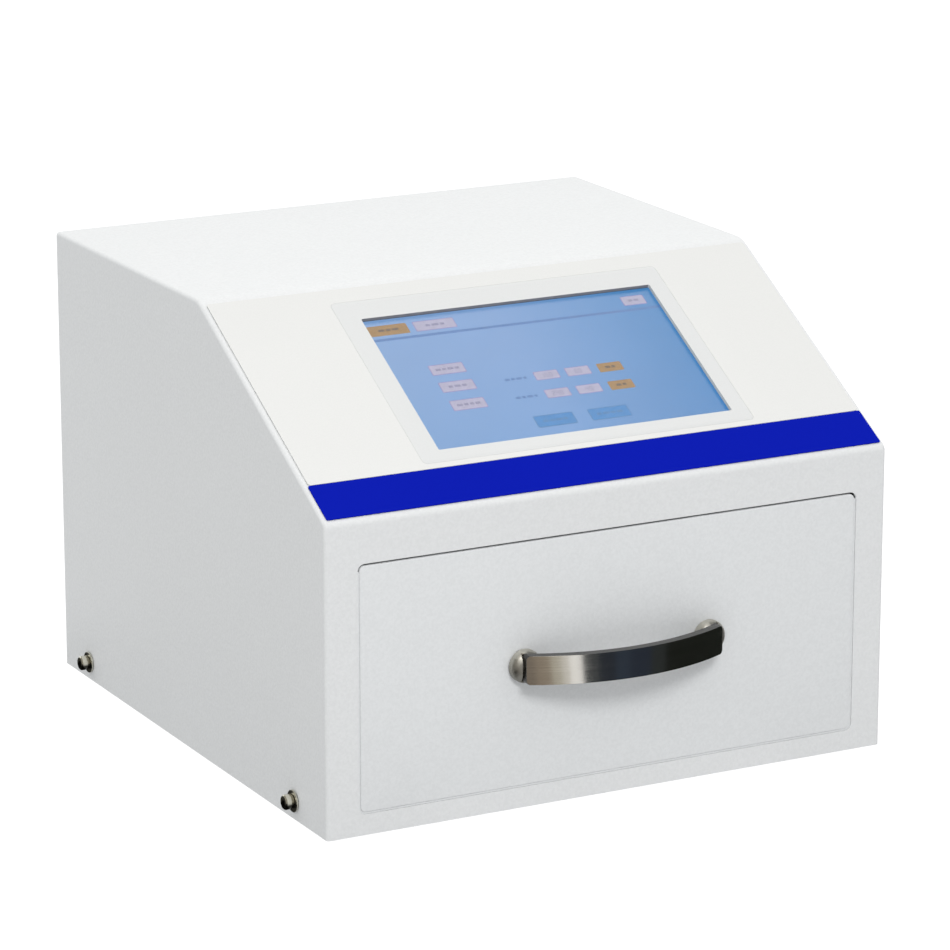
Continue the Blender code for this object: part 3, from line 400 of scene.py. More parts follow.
def powder_coat(name, colour, contrast=0.025, strength=0.20):
    """Stoved powder paint: a fine orange peel with small pits, and a faint cloudiness."""
    made, tree, shader = surface(name, colour, 0.50)
    at = coordinates(tree)
    peel = noise(tree, at, 750, 3)
    tone = shades(tree, peel, colour, (0.34, 1 - contrast), (0.66, 1 + contrast))
    cloud = ramp(tree, noise(tree, at, 9, 2), ((0.30, 0.988), (0.70, 1.0)))
    wire(tree, shader, "Base Color", multiply(tree, tone, cloud))
    wire(tree, shader, "Roughness", ramp(tree, noise(tree, at, 900, 2), ((0.35, 0.44), (0.65, 0.58))))
    pits = ramp(tree, cells(tree, at, 420), ((0.05, 0.0), (0.35, 1.0)))
    height = arithmetic(tree, "ADD", peel, arithmetic(tree, "MULTIPLY", pits, 0.25))
    bump(tree, shader, height, strength, 0.0004)
    return made


def printed_film(name, colour, roughness, specular, contrast=0.012):
    """Polyester film, printed behind: an even colour under a fine velvet grain."""
    made, tree, shader = surface(name, colour, roughness, Specular_IOR_Level=specular)
    at = coordinates(tree)
    grain = noise(tree, at, 1500, 2)
    broad = ramp(tree, noise(tree, at, 12, 2), ((0.3, 1 - contrast), (0.7, 1.0)))
    fine = shades(tree, grain, colour, (0.35, 1 - contrast), (0.65, 1 + contrast))
    wire(tree, shader, "Base Color", multiply(tree, fine, broad))
    wire(tree, shader, "Roughness", ramp(tree, grain, ((0.3, roughness - 0.05), (0.7, roughness + 0.06))))
    bump(tree, shader, grain, 0.12, 0.0001)
    return made


def moulded(name, colour, roughness, scale=900, strength=0.25):
    """Moulded plastic or rubber with a spark-eroded grain and slightly glossier high spots."""
    made, tree, shader = surface(name, colour, roughness)
    at = coordinates(tree)
    grain = cells(tree, at, scale)
    broad = noise(tree, at, 40, 3)
    wire(tree, shader, "Base Color", shades(tree, broad, colour, (0.3, 0.86), (0.7, 1.12)))
    wire(tree, shader, "Roughness", ramp(tree, grain, ((0.2, roughness - 0.08), (0.8, roughness + 0.08))))
    bump(tree, shader, grain, strength, 0.0003)
    return made


def brushed(name, colour, roughness, scale, contrast=0.10, relief=0.10, painted_shade=None):
    """Metal brushed one way: long fine streaks in tone, gloss and relief. The scale is small along them.
    With a shade of (low, high, dark) it is darker below, between two heights: painted shade, as if lit from
    above."""
    made, tree, shader = surface(name, colour, roughness, Metallic=1.0)
    streaks = noise(tree, coordinates(tree, scale), 1.0, 4)
    tone = shades(tree, streaks, colour, (0.30, 1 - contrast), (0.70, 1 + contrast))
    smudge_and_shade = ramp(tree, noise(tree, coordinates(tree), 55, 3), ((0.30, 0.93), (0.70, 1.0)))
    # painted shade: the tone darkens towards the lower height, on top of the random smudges
    if painted_shade is not None:
        low, high, dark = painted_shade
        rise = share(tree, split(tree, coordinates(tree))["Z"], low, high)
        smudge_and_shade = multiply(tree, smudge_and_shade, ramp(tree, rise, ((0.0, dark), (0.5, 0.6), (1.0, 1.0))))
    wire(tree, shader, "Base Color", multiply(tree, tone, smudge_and_shade))
    wire(tree, shader, "Roughness", ramp(tree, streaks, ((0.3, 0.75 * roughness), (0.7, 1.3 * roughness))))
    bump(tree, shader, streaks, relief, 0.0001)
    return made


def galvanised():
    """Zinc-dipped sheet: spangles of slightly different greys, each with its own gloss."""
    colour = (0.50, 0.52, 0.53)
    made, tree, shader = surface("galvanised_sheet", colour, 0.42, Metallic=1.0)
    at = coordinates(tree)
    spangle = split(tree, cells(tree, at, 150, "Color"))
    wire(tree, shader, "Base Color", shades(tree, spangle["X"], colour, (0.0, 0.80), (1.0, 1.22)))
    wire(tree, shader, "Roughness", ramp(tree, spangle["Y"], ((0.0, 0.30), (1.0, 0.52))))
    bump(tree, shader, noise(tree, at, 500, 3), 0.12, 0.0002)
    return made


def plated(name, colour, roughness):
    """Bright plating with a faint haze and fine scratches."""
    made, tree, shader = surface(name, colour, roughness, Metallic=1.0)
    haze = noise(tree, coordinates(tree), 420, 3)
    scratches = noise(tree, coordinates(tree, (900, 90, 90), (0.4, 0.7, 0.2)), 1.0, 3)
    wire(tree, shader, "Base Color", shades(tree, haze, colour, (0.3, 0.84), (0.7, 1.10)))
    wire(tree, shader, "Roughness", ramp(tree, haze, ((0.3, roughness - 0.06), (0.7, roughness + 0.10))))
    bump(tree, shader, scratches, 0.10, 0.0001)
    return made


def fibre(name, colour, weave=0.0):
    """Ceramic fibre: matted strands, or with a weave a plaited rope of them."""
    made, tree, shader = surface(name, colour, 0.95)
    height = noise(tree, coordinates(tree), 700, 5, 1.2)
    low = 0.30
    if weave:
        diagonal = coordinates(tree, (1, 1, 1), (0.0, math.pi / 4, 0.0))
        strands = [bands(tree, diagonal, weave, direction) for direction in "XZ"]
        height = arithmetic(tree, "ADD", arithmetic(tree, "MAXIMUM", *strands), height)
        low = 0.55
    wire(tree, shader, "Base Color", shades(tree, height, colour, (low, 0.72), (low + 0.45, 1.05)))
    bump(tree, shader, height, 0.7, 0.0006)
    return made


def circuit_board(name, face=None):
    """Solder mask over a maze of tracks. Whatever stands above the board's face is black moulding."""
    mask, track, body = (0.010, 0.120, 0.045), (0.020, 0.210, 0.085), (0.020, 0.020, 0.022)
    made, tree, shader = surface(name, mask, 0.35)
    at = coordinates(tree)
    maze = cells(tree, at, 260.0, distance="MANHATTAN")
    colour = ramp(tree, maze, ((0.42, mask), (0.46, track), (0.54, track), (0.58, mask)))
    if face is not None:
        above = arithmetic(tree, "SUBTRACT", split(tree, at)["Z"], face)
        raised = ramp(tree, arithmetic(tree, "MULTIPLY", above, 4000.0), ((0.45, 0.0), (0.55, 1.0)))
        grain = shades(tree, noise(tree, at, 600, 2), body, (0.3, 0.8), (0.7, 1.6))
        colour = mix(tree, colour, grain, amount=raised)
    wire(tree, shader, "Base Color", colour)
    bump(tree, shader, maze, 0.15, 0.0002)
    return made


def clear(name, colour, roughness, transmission, specular=0.5):
    """Glass or quartz with faint smears in its gloss."""
    glass = {"Transmission_Weight": transmission, "IOR": 1.45, "Specular_IOR_Level": specular}
    made, tree, shader = surface(name, colour, roughness, **glass)
    smear = noise(tree, coordinates(tree), 60, 4, 0.5)
    wire(tree, shader, "Roughness", ramp(tree, smear, ((0.35, roughness), (0.75, roughness + 0.05))))
    return made


def lit(name, colour):
    return surface(name, colour, 0.35, Specular_IOR_Level=0.08, Emission_Strength=1.0)


def lit_page():
    """The display's lit background: paler to the left and above, with a backlight's slow unevenness."""
    made, tree, shader = lit("page_blue", (0.01, 0.012, 0.02))
    at = coordinates(tree)
    place = split(tree, at)
    stops = ((0.0, (0.195, 0.350, 0.632)), (0.45, (0.184, 0.342, 0.636)), (1.0, (0.046, 0.225, 0.520)))
    colour = ramp(tree, share(tree, place["X"], -0.075, 0.080), stops)
    low = ramp(tree, share(tree, place["Y"], -0.110, -0.030), ((0.0, (0.83, 0.945, 0.990)), (0.65, 1.0)))
    cloud = ramp(tree, noise(tree, at, 26, 3), ((0.30, 0.955), (0.70, 1.0)))
    wire(tree, shader, "Emission Color", multiply(tree, multiply(tree, colour, low), cloud))
    return made


def lit_mark(name, colour):
    """A button or a mark on the lit page, faintly uneven."""
    made, tree, shader = lit(name, tint(colour, 0.05))
    cloud = noise(tree, coordinates(tree), 300, 2)
    wire(tree, shader, "Emission Color", shades(tree, cloud, colour, (0.30, 0.93), (0.70, 1.04)))
    return made


def make_finishes():
    """Every material by its finish."""
    post_middle = COVER_LOW.z + HANDLE_Z
    screw_middle = COVER_LOW.z + SIDE_SCREW_Z
    board_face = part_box("control_board")[0].z + BOARD_FACE
    return {
        "coat": powder_coat("white_powder_coat", (0.800, 0.808, 0.812)),
        "drawer_coat": powder_coat("drawer_powder_coat", (0.785, 0.797, 0.805)),
        "film": printed_film("panel_film", (0.775, 0.775, 0.760), 0.42, 0.30),
        "stripe": printed_film("blue_film", (0.0045, 0.0125, 0.400), 0.60, 0.0, 0.02),
        "bezel": printed_film("bezel_lacquer", (0.726, 0.733, 0.730), 0.38, 0.35),
        # A darker copy of the bezel lacquer for the window's upper wall: painted shade
        "bezel_shade": printed_film("bezel_shade", (0.30, 0.30, 0.33), 0.45, 0.20),
        "nickel": brushed("brushed_nickel_bow", (0.70, 0.67, 0.62), 0.13, (18, 18, 2200), 0.04, 0.03),
        # A darker copy of the bow's nickel for its top, bottom and back faces: painted shade
        "nickel_painted_shade": brushed(
            "brushed_nickel_painted_shade", (0.085, 0.082, 0.078), 0.26, (18, 900, 900), 0.06, 0.05,
        ),
        # The cap screws' zinc, nearly black below their axis: painted shade
        "screw_zinc": brushed(
            "bright_zinc_painted_shade", (0.80, 0.77, 0.66), 0.20, (900, 900, 900), 0.05, 0.05,
            (screw_middle - 0.2 * SCREW_HEAD, screw_middle + 0.1 * SCREW_HEAD, 0.07),
        ),
        # The posts' nickel, darker on their lower side: painted shade
        "post_nickel": brushed(
            "brushed_nickel_post_painted_shade", (0.64, 0.62, 0.555), 0.42, (900, 60, 900), 0.08, 0.08,
            (post_middle - POST_RADIUS, post_middle + 0.9 * POST_RADIUS, 0.34),
        ),
        "zinc": plated("zinc_plating", (0.68, 0.66, 0.58), 0.20),
        "brass": plated("tinned_brass", (0.72, 0.66, 0.50), 0.30),
        "galvanised": galvanised(),
        "stainless": brushed("brushed_stainless", (0.60, 0.60, 0.59), 0.32, (25, 1300, 1300)),
        "rubber": moulded("foot_rubber", (0.018, 0.018, 0.018), 0.75, 700, 0.5),
        "black": moulded("black_moulding", (0.025, 0.025, 0.026), 0.45),
        "red": moulded("red_moulding", (0.55, 0.020, 0.012), 0.32, 1200, 0.08),
        "insulation": fibre("ceramic_fibre", (0.80, 0.78, 0.72)),
        "gasket": fibre("plaited_fibre", (0.58, 0.56, 0.50), 130),
        "ceramic": moulded("steatite", (0.80, 0.78, 0.71), 0.55, 500, 0.3),
        "quartz": clear("milky_quartz", (0.92, 0.91, 0.88), 0.12, 0.85),
        "coil": plated("resistance_wire", (0.33, 0.29, 0.26), 0.45),
        "glass": clear("cover_glass", (1.0, 1.0, 1.0), 0.02, 1.0, 0.2),
        "lcd": moulded("lcd_border", (0.060, 0.056, 0.055), 0.40, 1400, 0.05),
        "relay": moulded("relay_moulding", (0.075, 0.085, 0.095), 0.50),
        "marking": moulded("white_marking", (0.75, 0.75, 0.74), 0.50),
        "page": lit_page(),
        "rule": lit_mark("page_rule", (0.080, 0.195, 0.460)),
        "orange": lit_mark("page_orange", (0.335, 0.190, 0.062)),
        "pink": lit_mark("page_pink", (0.415, 0.400, 0.545)),
        "mauve": lit_mark("page_mauve", (0.270, 0.240, 0.500)),
        "cyan": lit_mark("page_cyan", (0.035, 0.222, 0.540)),
        "teal": lit_mark("page_teal", (0.050, 0.190, 0.430)),
        "ink": lit_mark("page_ink", (0.260, 0.255, 0.400)),
        "umber": lit_mark("page_umber", (0.135, 0.085, 0.050)),
        "control_board": circuit_board("control_board", board_face),
        "display_board": circuit_board("display_board"),
    }


# Shapes


def as_mesh(solid, move=None):
    """The mesh of a bmesh, with its faces pointing out, moved by a matrix."""
    bmesh.ops.recalc_face_normals(solid, faces=solid.faces)
    if move is not None:
        solid.transform(move)
    return finished(solid)


def finished(solid):
    mesh = bpy.data.meshes.new("shape")
    solid.to_mesh(mesh)
    solid.free()
    return mesh


def merged(*meshes):
    solid = bmesh.new()
    for mesh in meshes:
        solid.from_mesh(mesh)
    return finished(solid)


def rounded(corners, radii, steps=6):
    """An outline whose corners are arcs; a radius of 0 keeps the corner."""
    outline = []
    count = len(corners)
    for index, corner in enumerate(corners):
        radius = radii[index] if isinstance(radii, (list, tuple)) else radii
        corner = Vector(corner)
        if radius == 0:
            outline.append(corner)
            continue
        back = (Vector(corners[index - 1]) - corner).normalized()
        ahead = (Vector(corners[(index + 1) % count]) - corner).normalized()
        half = back.angle(ahead) / 2
        middle = corner + (back + ahead).normalized() * radius / math.sin(half)
        start = corner + back * radius / math.tan(half) - middle
        sweep = math.pi - 2 * half
        if back.x * ahead.y - back.y * ahead.x > 0:
            sweep = -sweep
        for step in range(steps + 1):
            outline.append(middle + Matrix.Rotation(sweep * step / steps, 2) @ start)
    return outline


def rectangle(middle, size, radius=0.0, steps=6):
    (u, v), (width, height) = middle, size
    low, high = (u - width / 2, v - height / 2), (u + width / 2, v + height / 2)
    return rounded([low, (high[0], low[1]), high, (low[0], high[1])], radius, steps)


def grown(size, by):
    """A width and a height with as much more on every side."""
    return (size[0] + 2 * by, size[1] + 2 * by)


def circle(middle, radius, steps=48):
    turns = [2 * math.pi * step / steps for step in range(steps)]
    return [(middle[0] + radius * math.cos(turn), middle[1] + radius * math.sin(turn)) for turn in turns]


def placed(axis, u, v, along):
    """A point of a prism along an axis: (y, z) for X, (x, z) for Y and (x, y) for Z."""
    return {"X": (along, u, v), "Y": (u, along, v), "Z": (u, v, along)}[axis]


def prism(axis, outline, start, end):
    solid = bmesh.new()
    ring = [solid.verts.new(placed(axis, u, v, start)) for u, v in outline]
    face = solid.faces.new(ring)
    moved = bmesh.ops.extrude_face_region(solid, geom=[face])["geom"]
    corners = [item for item in moved if isinstance(item, bmesh.types.BMVert)]
    bmesh.ops.translate(solid, verts=corners, vec=placed(axis, 0, 0, end - start))
    return as_mesh(solid)


def block(low, high):
    middle = ((low[0] + high[0]) / 2, (low[1] + high[1]) / 2)
    return prism("Z", rectangle(middle, (high[0] - low[0], high[1] - low[1])), low[2], high[2])


def skinned(rings, closed=False, move=None):
    """A solid through rings of as many points each, with flat ends unless the last ring meets the first."""
    solid = bmesh.new()
    rows = [[solid.verts.new(point) for point in ring] for ring in rings]
    pairs = list(zip(rows, rows[1:]))
    if closed:
        pairs.append((rows[-1], rows[0]))
    for lower, upper in pairs:
        for index in range(len(lower)):
            after = (index + 1) % len(lower)
            solid.faces.new((lower[index], lower[after], upper[after], upper[index]))
    if not closed:
        solid.faces.new(rows[0])
        solid.faces.new(rows[-1])
    return as_mesh(solid, move)


def lofted(rings):
    """A solid through outlines, given with their heights."""
    return skinned([[(u, v, height) for u, v in outline] for outline, height in rings])


def rod(axis, middle, radius, start, end, steps=32):
    return prism(axis, circle(middle, radius, steps), start, end)


def turned(profile, axis="Z", steps=48, hollow=False, ribs=0.0, ribbed=()):
    """A profile of (radius, height) points turned about an axis. Every second point of the rings in
    ribbed is drawn in by ribs, as on a knurled head."""
    rings = []
    for index, (radius, height) in enumerate(profile):
        ring = []
        for step in range(steps):
            turn = 2 * math.pi * step / steps
            reach = radius - ribs if index in ribbed and step % 2 else radius
            ring.append((reach * math.cos(turn), reach * math.sin(turn), height))
        rings.append(ring)
    return skinned(rings, hollow, TURN.get(axis))


def swept(points, radius, sides=8, closed=False):
    """A round wire along points, with flat ends unless it is closed."""
    section = [Vector((u, v, 0)) for u, v in circle((0, 0), radius, sides)]
    count = len(points)
    rings = []
    for index, point in enumerate(points):
        before = points[index - 1] if index or closed else point
        after = points[(index + 1) % count] if index < count - 1 or closed else point
        heading = (Vector(after) - Vector(before)).normalized()
        if rings:
            turn = facing.rotation_difference(heading) @ turn
        else:
            turn = Vector((0, 0, 1)).rotation_difference(heading)
        facing = heading
        rings.append([Vector(point) + turn @ offset for offset in section])
    return skinned(rings, closed)


def moved(mesh, *steps):
    """The mesh moved by matrices or by offsets, in the order given."""
    for step in steps:
        mesh.transform(step if isinstance(step, Matrix) else Matrix.Translation(step))
    return mesh


def bevelled(mesh, chosen, width, segments):
    """A mesh with the edges that pass a test rounded."""
    solid = bmesh.new()
    solid.from_mesh(mesh)
    edges = [edge for edge in solid.edges if chosen(edge)]
    bmesh.ops.bevel(solid, geom=edges, offset=width, segments=segments, profile=0.5, affect="EDGES")
    return as_mesh(solid)


def both_ends(edge, test):
    return all(test(vertex.co) for vertex in edge.verts)


def combined(mesh, operation, *tools):
    """A mesh after cutting, joining or intersecting it with others, one after another."""
    helpers = []
    for shape in (mesh, *tools):
        helpers.append(new_object("helper", shape))
    body = helpers[0]
    for helper in helpers[1:]:
        step = body.modifiers.new("step", "BOOLEAN")
        step.operation = operation
        step.object = helper
        step.solver = "EXACT"
    bpy.context.view_layer.update()
    result = bpy.data.meshes.new_from_object(body.evaluated_get(bpy.context.evaluated_depsgraph_get()))
    for helper in helpers:
        bpy.data.objects.remove(helper, do_unlink=True)
    return result


def cut(mesh, *tools):
    return combined(mesh, "DIFFERENCE", *tools)


def joined(mesh, *tools):
    return combined(mesh, "UNION", *tools)


def rounded_edges(item, width, segments):
    """Modifiers that round the sharp edges and keep the flat faces flat to the eye."""
    step = item.modifiers.new("edges", "BEVEL")
    step.width = width
    step.segments = segments
    step.limit_method = "ANGLE"
    step.angle_limit = SHARP
    normals = item.modifiers.new("normals", "WEIGHTED_NORMAL")
    normals.keep_sharp = True


def piece(name, mesh, finish, body, slot, *nodes, place=CABINET, edge=0.0, segments=2):
    """One shown piece in a finish or a list of them, moved to its place, riding on a body and standing
    for its CAD nodes."""
    mesh.transform(place)
    item = new_object(name, mesh)
    if isinstance(finish, str):
        mesh.materials.clear()
        finish = [finish]
    for each in finish:
        mesh.materials.append(FINISHES[each])
    mesh.shade_smooth()
    if edge:
        rounded_edges(item, edge, segments)
    else:
        mesh.set_sharp_from_angle(angle=SHARP)
    if nodes:
        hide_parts(*nodes)
    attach(item, body)


def dress(node, finish, edge):
    """A CAD node keeps its shape, with a better material and rounded edges."""
    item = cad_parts[node]
    for material_slot in item.material_slots:
        material_slot.material = FINISHES[finish]
    weld = item.modifiers.new("weld", "WELD")
    weld.merge_threshold = 0.000005
    flat = item.modifiers.new("flat", "DECIMATE")
    flat.decimate_type = "DISSOLVE"
    flat.angle_limit = math.radians(0.5)
    rounded_edges(item, edge, 2)


# Cabinet


def slope_height(y):
    """How high the cover's outer face is at a distance back along the slope."""
    return FRONT_HEIGHT + y * math.tan(SLOPE)


def cover_outline(inset, front_bend, top_bend, rear, lower):
    """The cover's side view, inset by a wall's thickness."""
    shift = inset / math.cos(SLOPE)
    top = HEIGHT - inset
    bend_y = (top + shift - FRONT_HEIGHT) / math.tan(SLOPE)
    front_top = slope_height(inset) - shift
    corners = [(inset, lower), (rear, lower), (rear, top), (bend_y, top), (inset, front_top)]
    return rounded(corners, [0, 0, 0, top_bend, front_bend], steps=12)


def side_screw_holes(reach):
    places = [(y, SIDE_SCREW_Z) for y in SIDE_SCREW_Y.values()]
    return merged(*[rod("X", place, SCREW_HOLE, -reach, reach) for place in places])


def drawer_outline(by, steps=8):
    """The drawer front's outline with as much more on every side."""
    size = grown((2 * DRAWER_HALF, DRAWER_Z[1] - DRAWER_Z[0]), by)
    return rectangle((0, sum(DRAWER_Z) / 2), size, DRAWER_CORNER + by, steps)


def make_cover():
    """The welded cover, with its drawer opening, display window and screw holes."""
    shell = prism("X", cover_outline(0, FRONT_BEND, TOP_BEND, DEPTH, 0), -HALF, HALF)

    def side_edge(edge):
        on_side = both_ends(edge, lambda point: abs(abs(point.x) - HALF) < 1e-6)
        along = abs(edge.verts[0].co.x - edge.verts[1].co.x) < 1e-6
        at_rear = both_ends(edge, lambda point: abs(point.y - DEPTH) < 1e-6)
        below = both_ends(edge, lambda point: abs(point.z) < 1e-6)
        return on_side and along and not at_rear and not below

    shell = bevelled(shell, side_edge, EDGE_ROUND, 6)
    inner = cover_outline(SHEET, FRONT_BEND - SHEET, TOP_BEND - SHEET, DEPTH + SHEET, -SHEET)
    inner = prism("X", inner, SHEET - HALF, HALF - SHEET)
    opening = prism("Y", drawer_outline(DRAWER_GAP, 6), -SHEET, 2 * SHEET)
    window = rectangle(BEZEL_AT, grown(BEZEL_SIZE, CLOSE), BEZEL_CORNER + CLOSE)
    window = moved(prism("Z", window, -3 * SHEET, SHEET), CABINET.inverted() @ PANEL)
    cover = cut(shell, inner, opening, window, side_screw_holes(HALF + SHEET))
    piece("cover_shell", cover, "coat", "chassis", "powder_coat", "outer_cover", edge=BRIM, segments=3)


def make_feet():
    """Four rubber feet, each round its screw."""
    profile = [
        (0.0043, -0.0030),
        (0.0045, -FOOT_HEIGHT + 0.0004),
        (0.0049, -FOOT_HEIGHT),
        (FOOT_RADIUS - 0.0020, -FOOT_HEIGHT),
        (FOOT_RADIUS - 0.0011, -FOOT_HEIGHT + 0.0003),
        (FOOT_RADIUS - 0.0007, -FOOT_HEIGHT + 0.0010),
        (FOOT_RADIUS - 0.0002, -0.0012),
        (FOOT_RADIUS, -GAP),
    ]
    for end, y in FOOT_Y.items():
        for side, sign in SIDES.items():
            at = Vector((sign * FOOT_X, y, 0))
            foot = moved(turned(profile), at)
            piece(f"pad_{end}_{side}", foot, "rubber", "chassis", "rubber", f"foot_{end}_{side}")
            seat = at + Vector((0, 0, -0.0031))
            screw = moved(pan_head(0.0036, 0.0018), Matrix.Rotation(math.pi, 4, "X"), seat)
            piece(f"pad_screw_{end}_{side}", screw, "zinc", "chassis", "zinc_screw")


def pan_head(radius, height):
    """A pan head along +Z with a cross recess."""
    profile = [
        (radius, 0),
        (radius, 0.25 * height),
        (0.93 * radius, 0.60 * height),
        (0.72 * radius, 0.88 * height),
        (0.42 * radius, height),
    ]
    arm, wing = 0.62 * radius, 0.13 * radius
    low, high = 0.35 * height, 2 * height
    return cut(
        turned(profile, steps=32),
        block((-arm, -wing, low), (arm, wing, high)),
        block((-wing, -arm, low), (wing, arm, high)),
    )


def cap_screw(length):
    """A knurled socket cap screw along +Z; its head stands on height 0."""
    head, top = SCREW_HEAD, SCREW_HEAD_HEIGHT
    profile = [
        (0.0020, -length),
        (0.0020, 0),
        (head - 0.0002, 0),
        (head, 0.0003),
        (head, top - 0.0006),
        (head - 0.0005, top),
    ]
    screw = turned(profile, steps=72, ribs=0.00005, ribbed=(3, 4))
    return cut(screw, prism("Z", circle((0, 0), 0.0018, 6), top - 0.0022, 2 * top))


def make_side_screws():
    """Four cap screws through the cover into the base pan's flanges, each on a washer."""
    face = HALF + GAP
    inside, outside, thick = SCREW_HOLE, WASHER_RADIUS, WASHER_THICKNESS
    ring = 0.00015
    washer = [
        (inside, 0),
        (outside - ring, 0),
        (outside, ring),
        (outside, thick - ring),
        (outside - ring, thick),
        (inside, thick),
    ]
    for end, y in SIDE_SCREW_Y.items():
        for side, sign in SIDES.items():
            turn = Matrix.Rotation(sign * math.pi / 2, 4, "Y")
            seat = face + thick + GAP
            screw = moved(cap_screw(0.008), turn, Vector((sign * seat, y, SIDE_SCREW_Z)))
            disc = moved(turned(washer, hollow=True), turn, Vector((sign * face, y, SIDE_SCREW_Z)))
            place = f"{end}_{side}"
            fixed = ("chassis", "zinc_screw")
            piece(f"cap_screw_{place}", screw, "screw_zinc", *fixed, f"side_screw_{place}")
            piece(f"washer_{place}", disc, "zinc", *fixed, f"side_washer_{place}")


# Control panel


def make_films():
    """The printed film round the display and the coloured strip below it."""
    lower = STRIPE_S[1] + GAP
    outline = rectangle((0, (lower + OVERLAY_TOP) / 2), (2 * OVERLAY_HALF, OVERLAY_TOP - lower), 0.0015)
    hole = rectangle(BEZEL_AT, grown(BEZEL_SIZE, CLOSE), BEZEL_CORNER + CLOSE)
    film = cut(prism("Z", outline, GAP, GAP + FILM), prism("Z", hole, -SHEET, SHEET))
    panel = {"place": PANEL, "edge": 0.00005}
    piece("panel_film", film, "film", "chassis", "overlay", "panel_overlay", **panel)
    size = (2 * STRIPE_HALF, STRIPE_S[1] - STRIPE_S[0])
    stripe = prism("Z", rectangle((0, sum(STRIPE_S) / 2), size, 0.0008), GAP, GAP + FILM)
    piece("blue_stripe", stripe, "stripe", "chassis", "stripe_blue", "accent_stripe", **panel)


def make_bezel():
    """The display's frame, sloped inside its window, with a clamping flange behind the sheet."""
    width, rise = BEZEL_SLOPE
    top = GAP + FILM + rise
    outline = rectangle(BEZEL_AT, BEZEL_SIZE, BEZEL_CORNER)
    inner = rectangle(BEZEL_AT, grown(BEZEL_SIZE, -width), BEZEL_CORNER - width)
    bezel = lofted([(outline, BEZEL_BACK), (outline, top - rise), (inner, top)])
    flange = rectangle(BEZEL_AT, BEZEL_FLANGE, 0.004)
    bezel = joined(bezel, prism("Z", flange, -2 * SHEET - GAP, -SHEET - GAP))
    pocket = prism("Z", rectangle(BEZEL_AT, BEZEL_POCKET, 0.001), 2 * BEZEL_BACK, top - BEZEL_FACE)
    window = prism("Z", rectangle(WINDOW_AT, WINDOW_SIZE, 0.0006), BEZEL_BACK, -BEZEL_BACK)
    bezel = cut(bezel, pocket, window)
    # The window's upper wall takes the darker bezel_shade finish: painted shade
    upper_side = WINDOW_AT[1] + WINDOW_SIZE[1] / 2
    for face in bezel.polygons:
        face.material_index = int(face.normal.y < -0.9 and abs(face.center.y - upper_side) < CLOSE)
    piece(
        "screen_bezel", bezel, ["bezel", "bezel_shade"], "chassis", "bezel_white", "display_bezel",
        place=PANEL, edge=0.0001,
    )


def make_display():
    """The cover glass over a dark-bordered panel and its lit page."""
    outline = rectangle(BEZEL_AT, grown(BEZEL_POCKET, -GAP), 0.0007)
    glass = prism("Z", outline, GLASS_TOP - GLASS_THICKNESS, GLASS_TOP)
    piece("screen_glass", glass, "glass", "chassis", "touch_glass", "touch_glass", place=PANEL, edge=0.00015)
    panel = prism("Z", outline, LCD_TOP - LCD_THICKNESS, LCD_TOP)
    piece("screen_panel", panel, "lcd", "chassis", "lcd", "lcd_panel", place=PANEL, edge=0.0002)
    piece("screen_page", page(), PAGE_FINISHES, "chassis", "lcd", place=PANEL)


# The page that the display shows, in millimetres of x and s: (left, right, low, high)
PAGE = (-72.8, 81.2, 35.8, 124.7)
PAGE_RULE = (-72.8, 81.2, 110.4, 112.0)
ORANGE_TAB = (-71.8, -51.5, 114.0, 120.8)
PINK_TABS = ((-48.3, -27.0, 114.0, 120.8), (61.8, 74.2, 114.2, 120.6))
MENU_BUTTONS = ((-53.4, -35.7, 84.2, 91.1), (-53.4, -35.7, 72.5, 79.4), (-53.4, -35.7, 60.1, 67.0))
ROWS = ((72.7, 78.5, ("150", "60")), (60.4, 66.2, ("240", "45")))
ROW_LABEL = (-20.4, -8.9)
ROW_BOXES = ((-4.8, 7.9), (11.7, 24.4))
ROW_BUTTON = (28.7, 41.4)
FOOT_BUTTONS = ((-17.9, 2.5, 42.6, 50.3), (10.3, 31.0, 42.6, 50.3))
LAYER = 0.00004  # each layer of the page stands this much over the one below
PAGE_FINISHES = ("page", "rule", "orange", "pink", "mauve", "cyan", "teal", "ink", "umber")
DIGIT_BARS = {"0": "abcdef", "1": "bc", "2": "abged", "4": "fgbc", "5": "afgcd", "6": "afgedc"}


def plate(box, layer, finish, corner=0.0):
    """A flat mark on the page, at a layer and in one of the page's finishes."""
    left, right, low, high = (value / 1000 for value in box)
    bottom = LCD_TOP + 0.00002 + layer * LAYER
    start = bottom if layer == 0 else bottom - 0.5 * LAYER
    middle = ((left + right) / 2, (low + high) / 2)
    outline = rectangle(middle, (right - left, high - low), corner / 1000, 3)
    mesh = prism("Z", outline, start, bottom + LAYER)
    for face in mesh.polygons:
        face.material_index = PAGE_FINISHES.index(finish)
    return mesh


def inset(box, by):
    left, right, low, high = box
    return (left + by, right - by, low + by, high - by)


def button(box, fill, rim, dashes, ink="ink"):
    """A button with a rim, and dashes where a label would be."""
    plates = [plate(box, 1, rim, 0.6), plate(inset(box, 0.45), 2, fill, 0.4)]
    return plates + dash_row(box, 3, dashes, ink)


def dash_row(box, layer, dashes, ink="ink"):
    """A row of short bars, as wide as the list says, in the middle of a box."""
    left, right, low, high = box
    space = 0.75
    at = (left + right - sum(dashes) - space * (len(dashes) - 1)) / 2
    middle = (low + high) / 2
    bars = []
    for width in dashes:
        bars.append(plate((at, at + width, middle - 0.75, middle + 0.75), layer, ink, 0.3))
        at += width + space
    return bars


def digit(shape, left, low, width=1.5, height=2.8, thick=0.38):
    """A seven-bar digit of the page."""
    right, top, middle = left + width, low + height, low + height / 2
    bars = {
        "a": (left, right, top - thick, top),
        "b": (right - thick, right, middle, top),
        "c": (right - thick, right, low, middle),
        "d": (left, right, low, low + thick),
        "e": (left, left + thick, low, middle),
        "f": (left, left + thick, middle, top),
        "g": (left, right, middle - thick / 2, middle + thick / 2),
    }
    return [plate(bars[bar], 3, "ink") for bar in DIGIT_BARS[shape]]


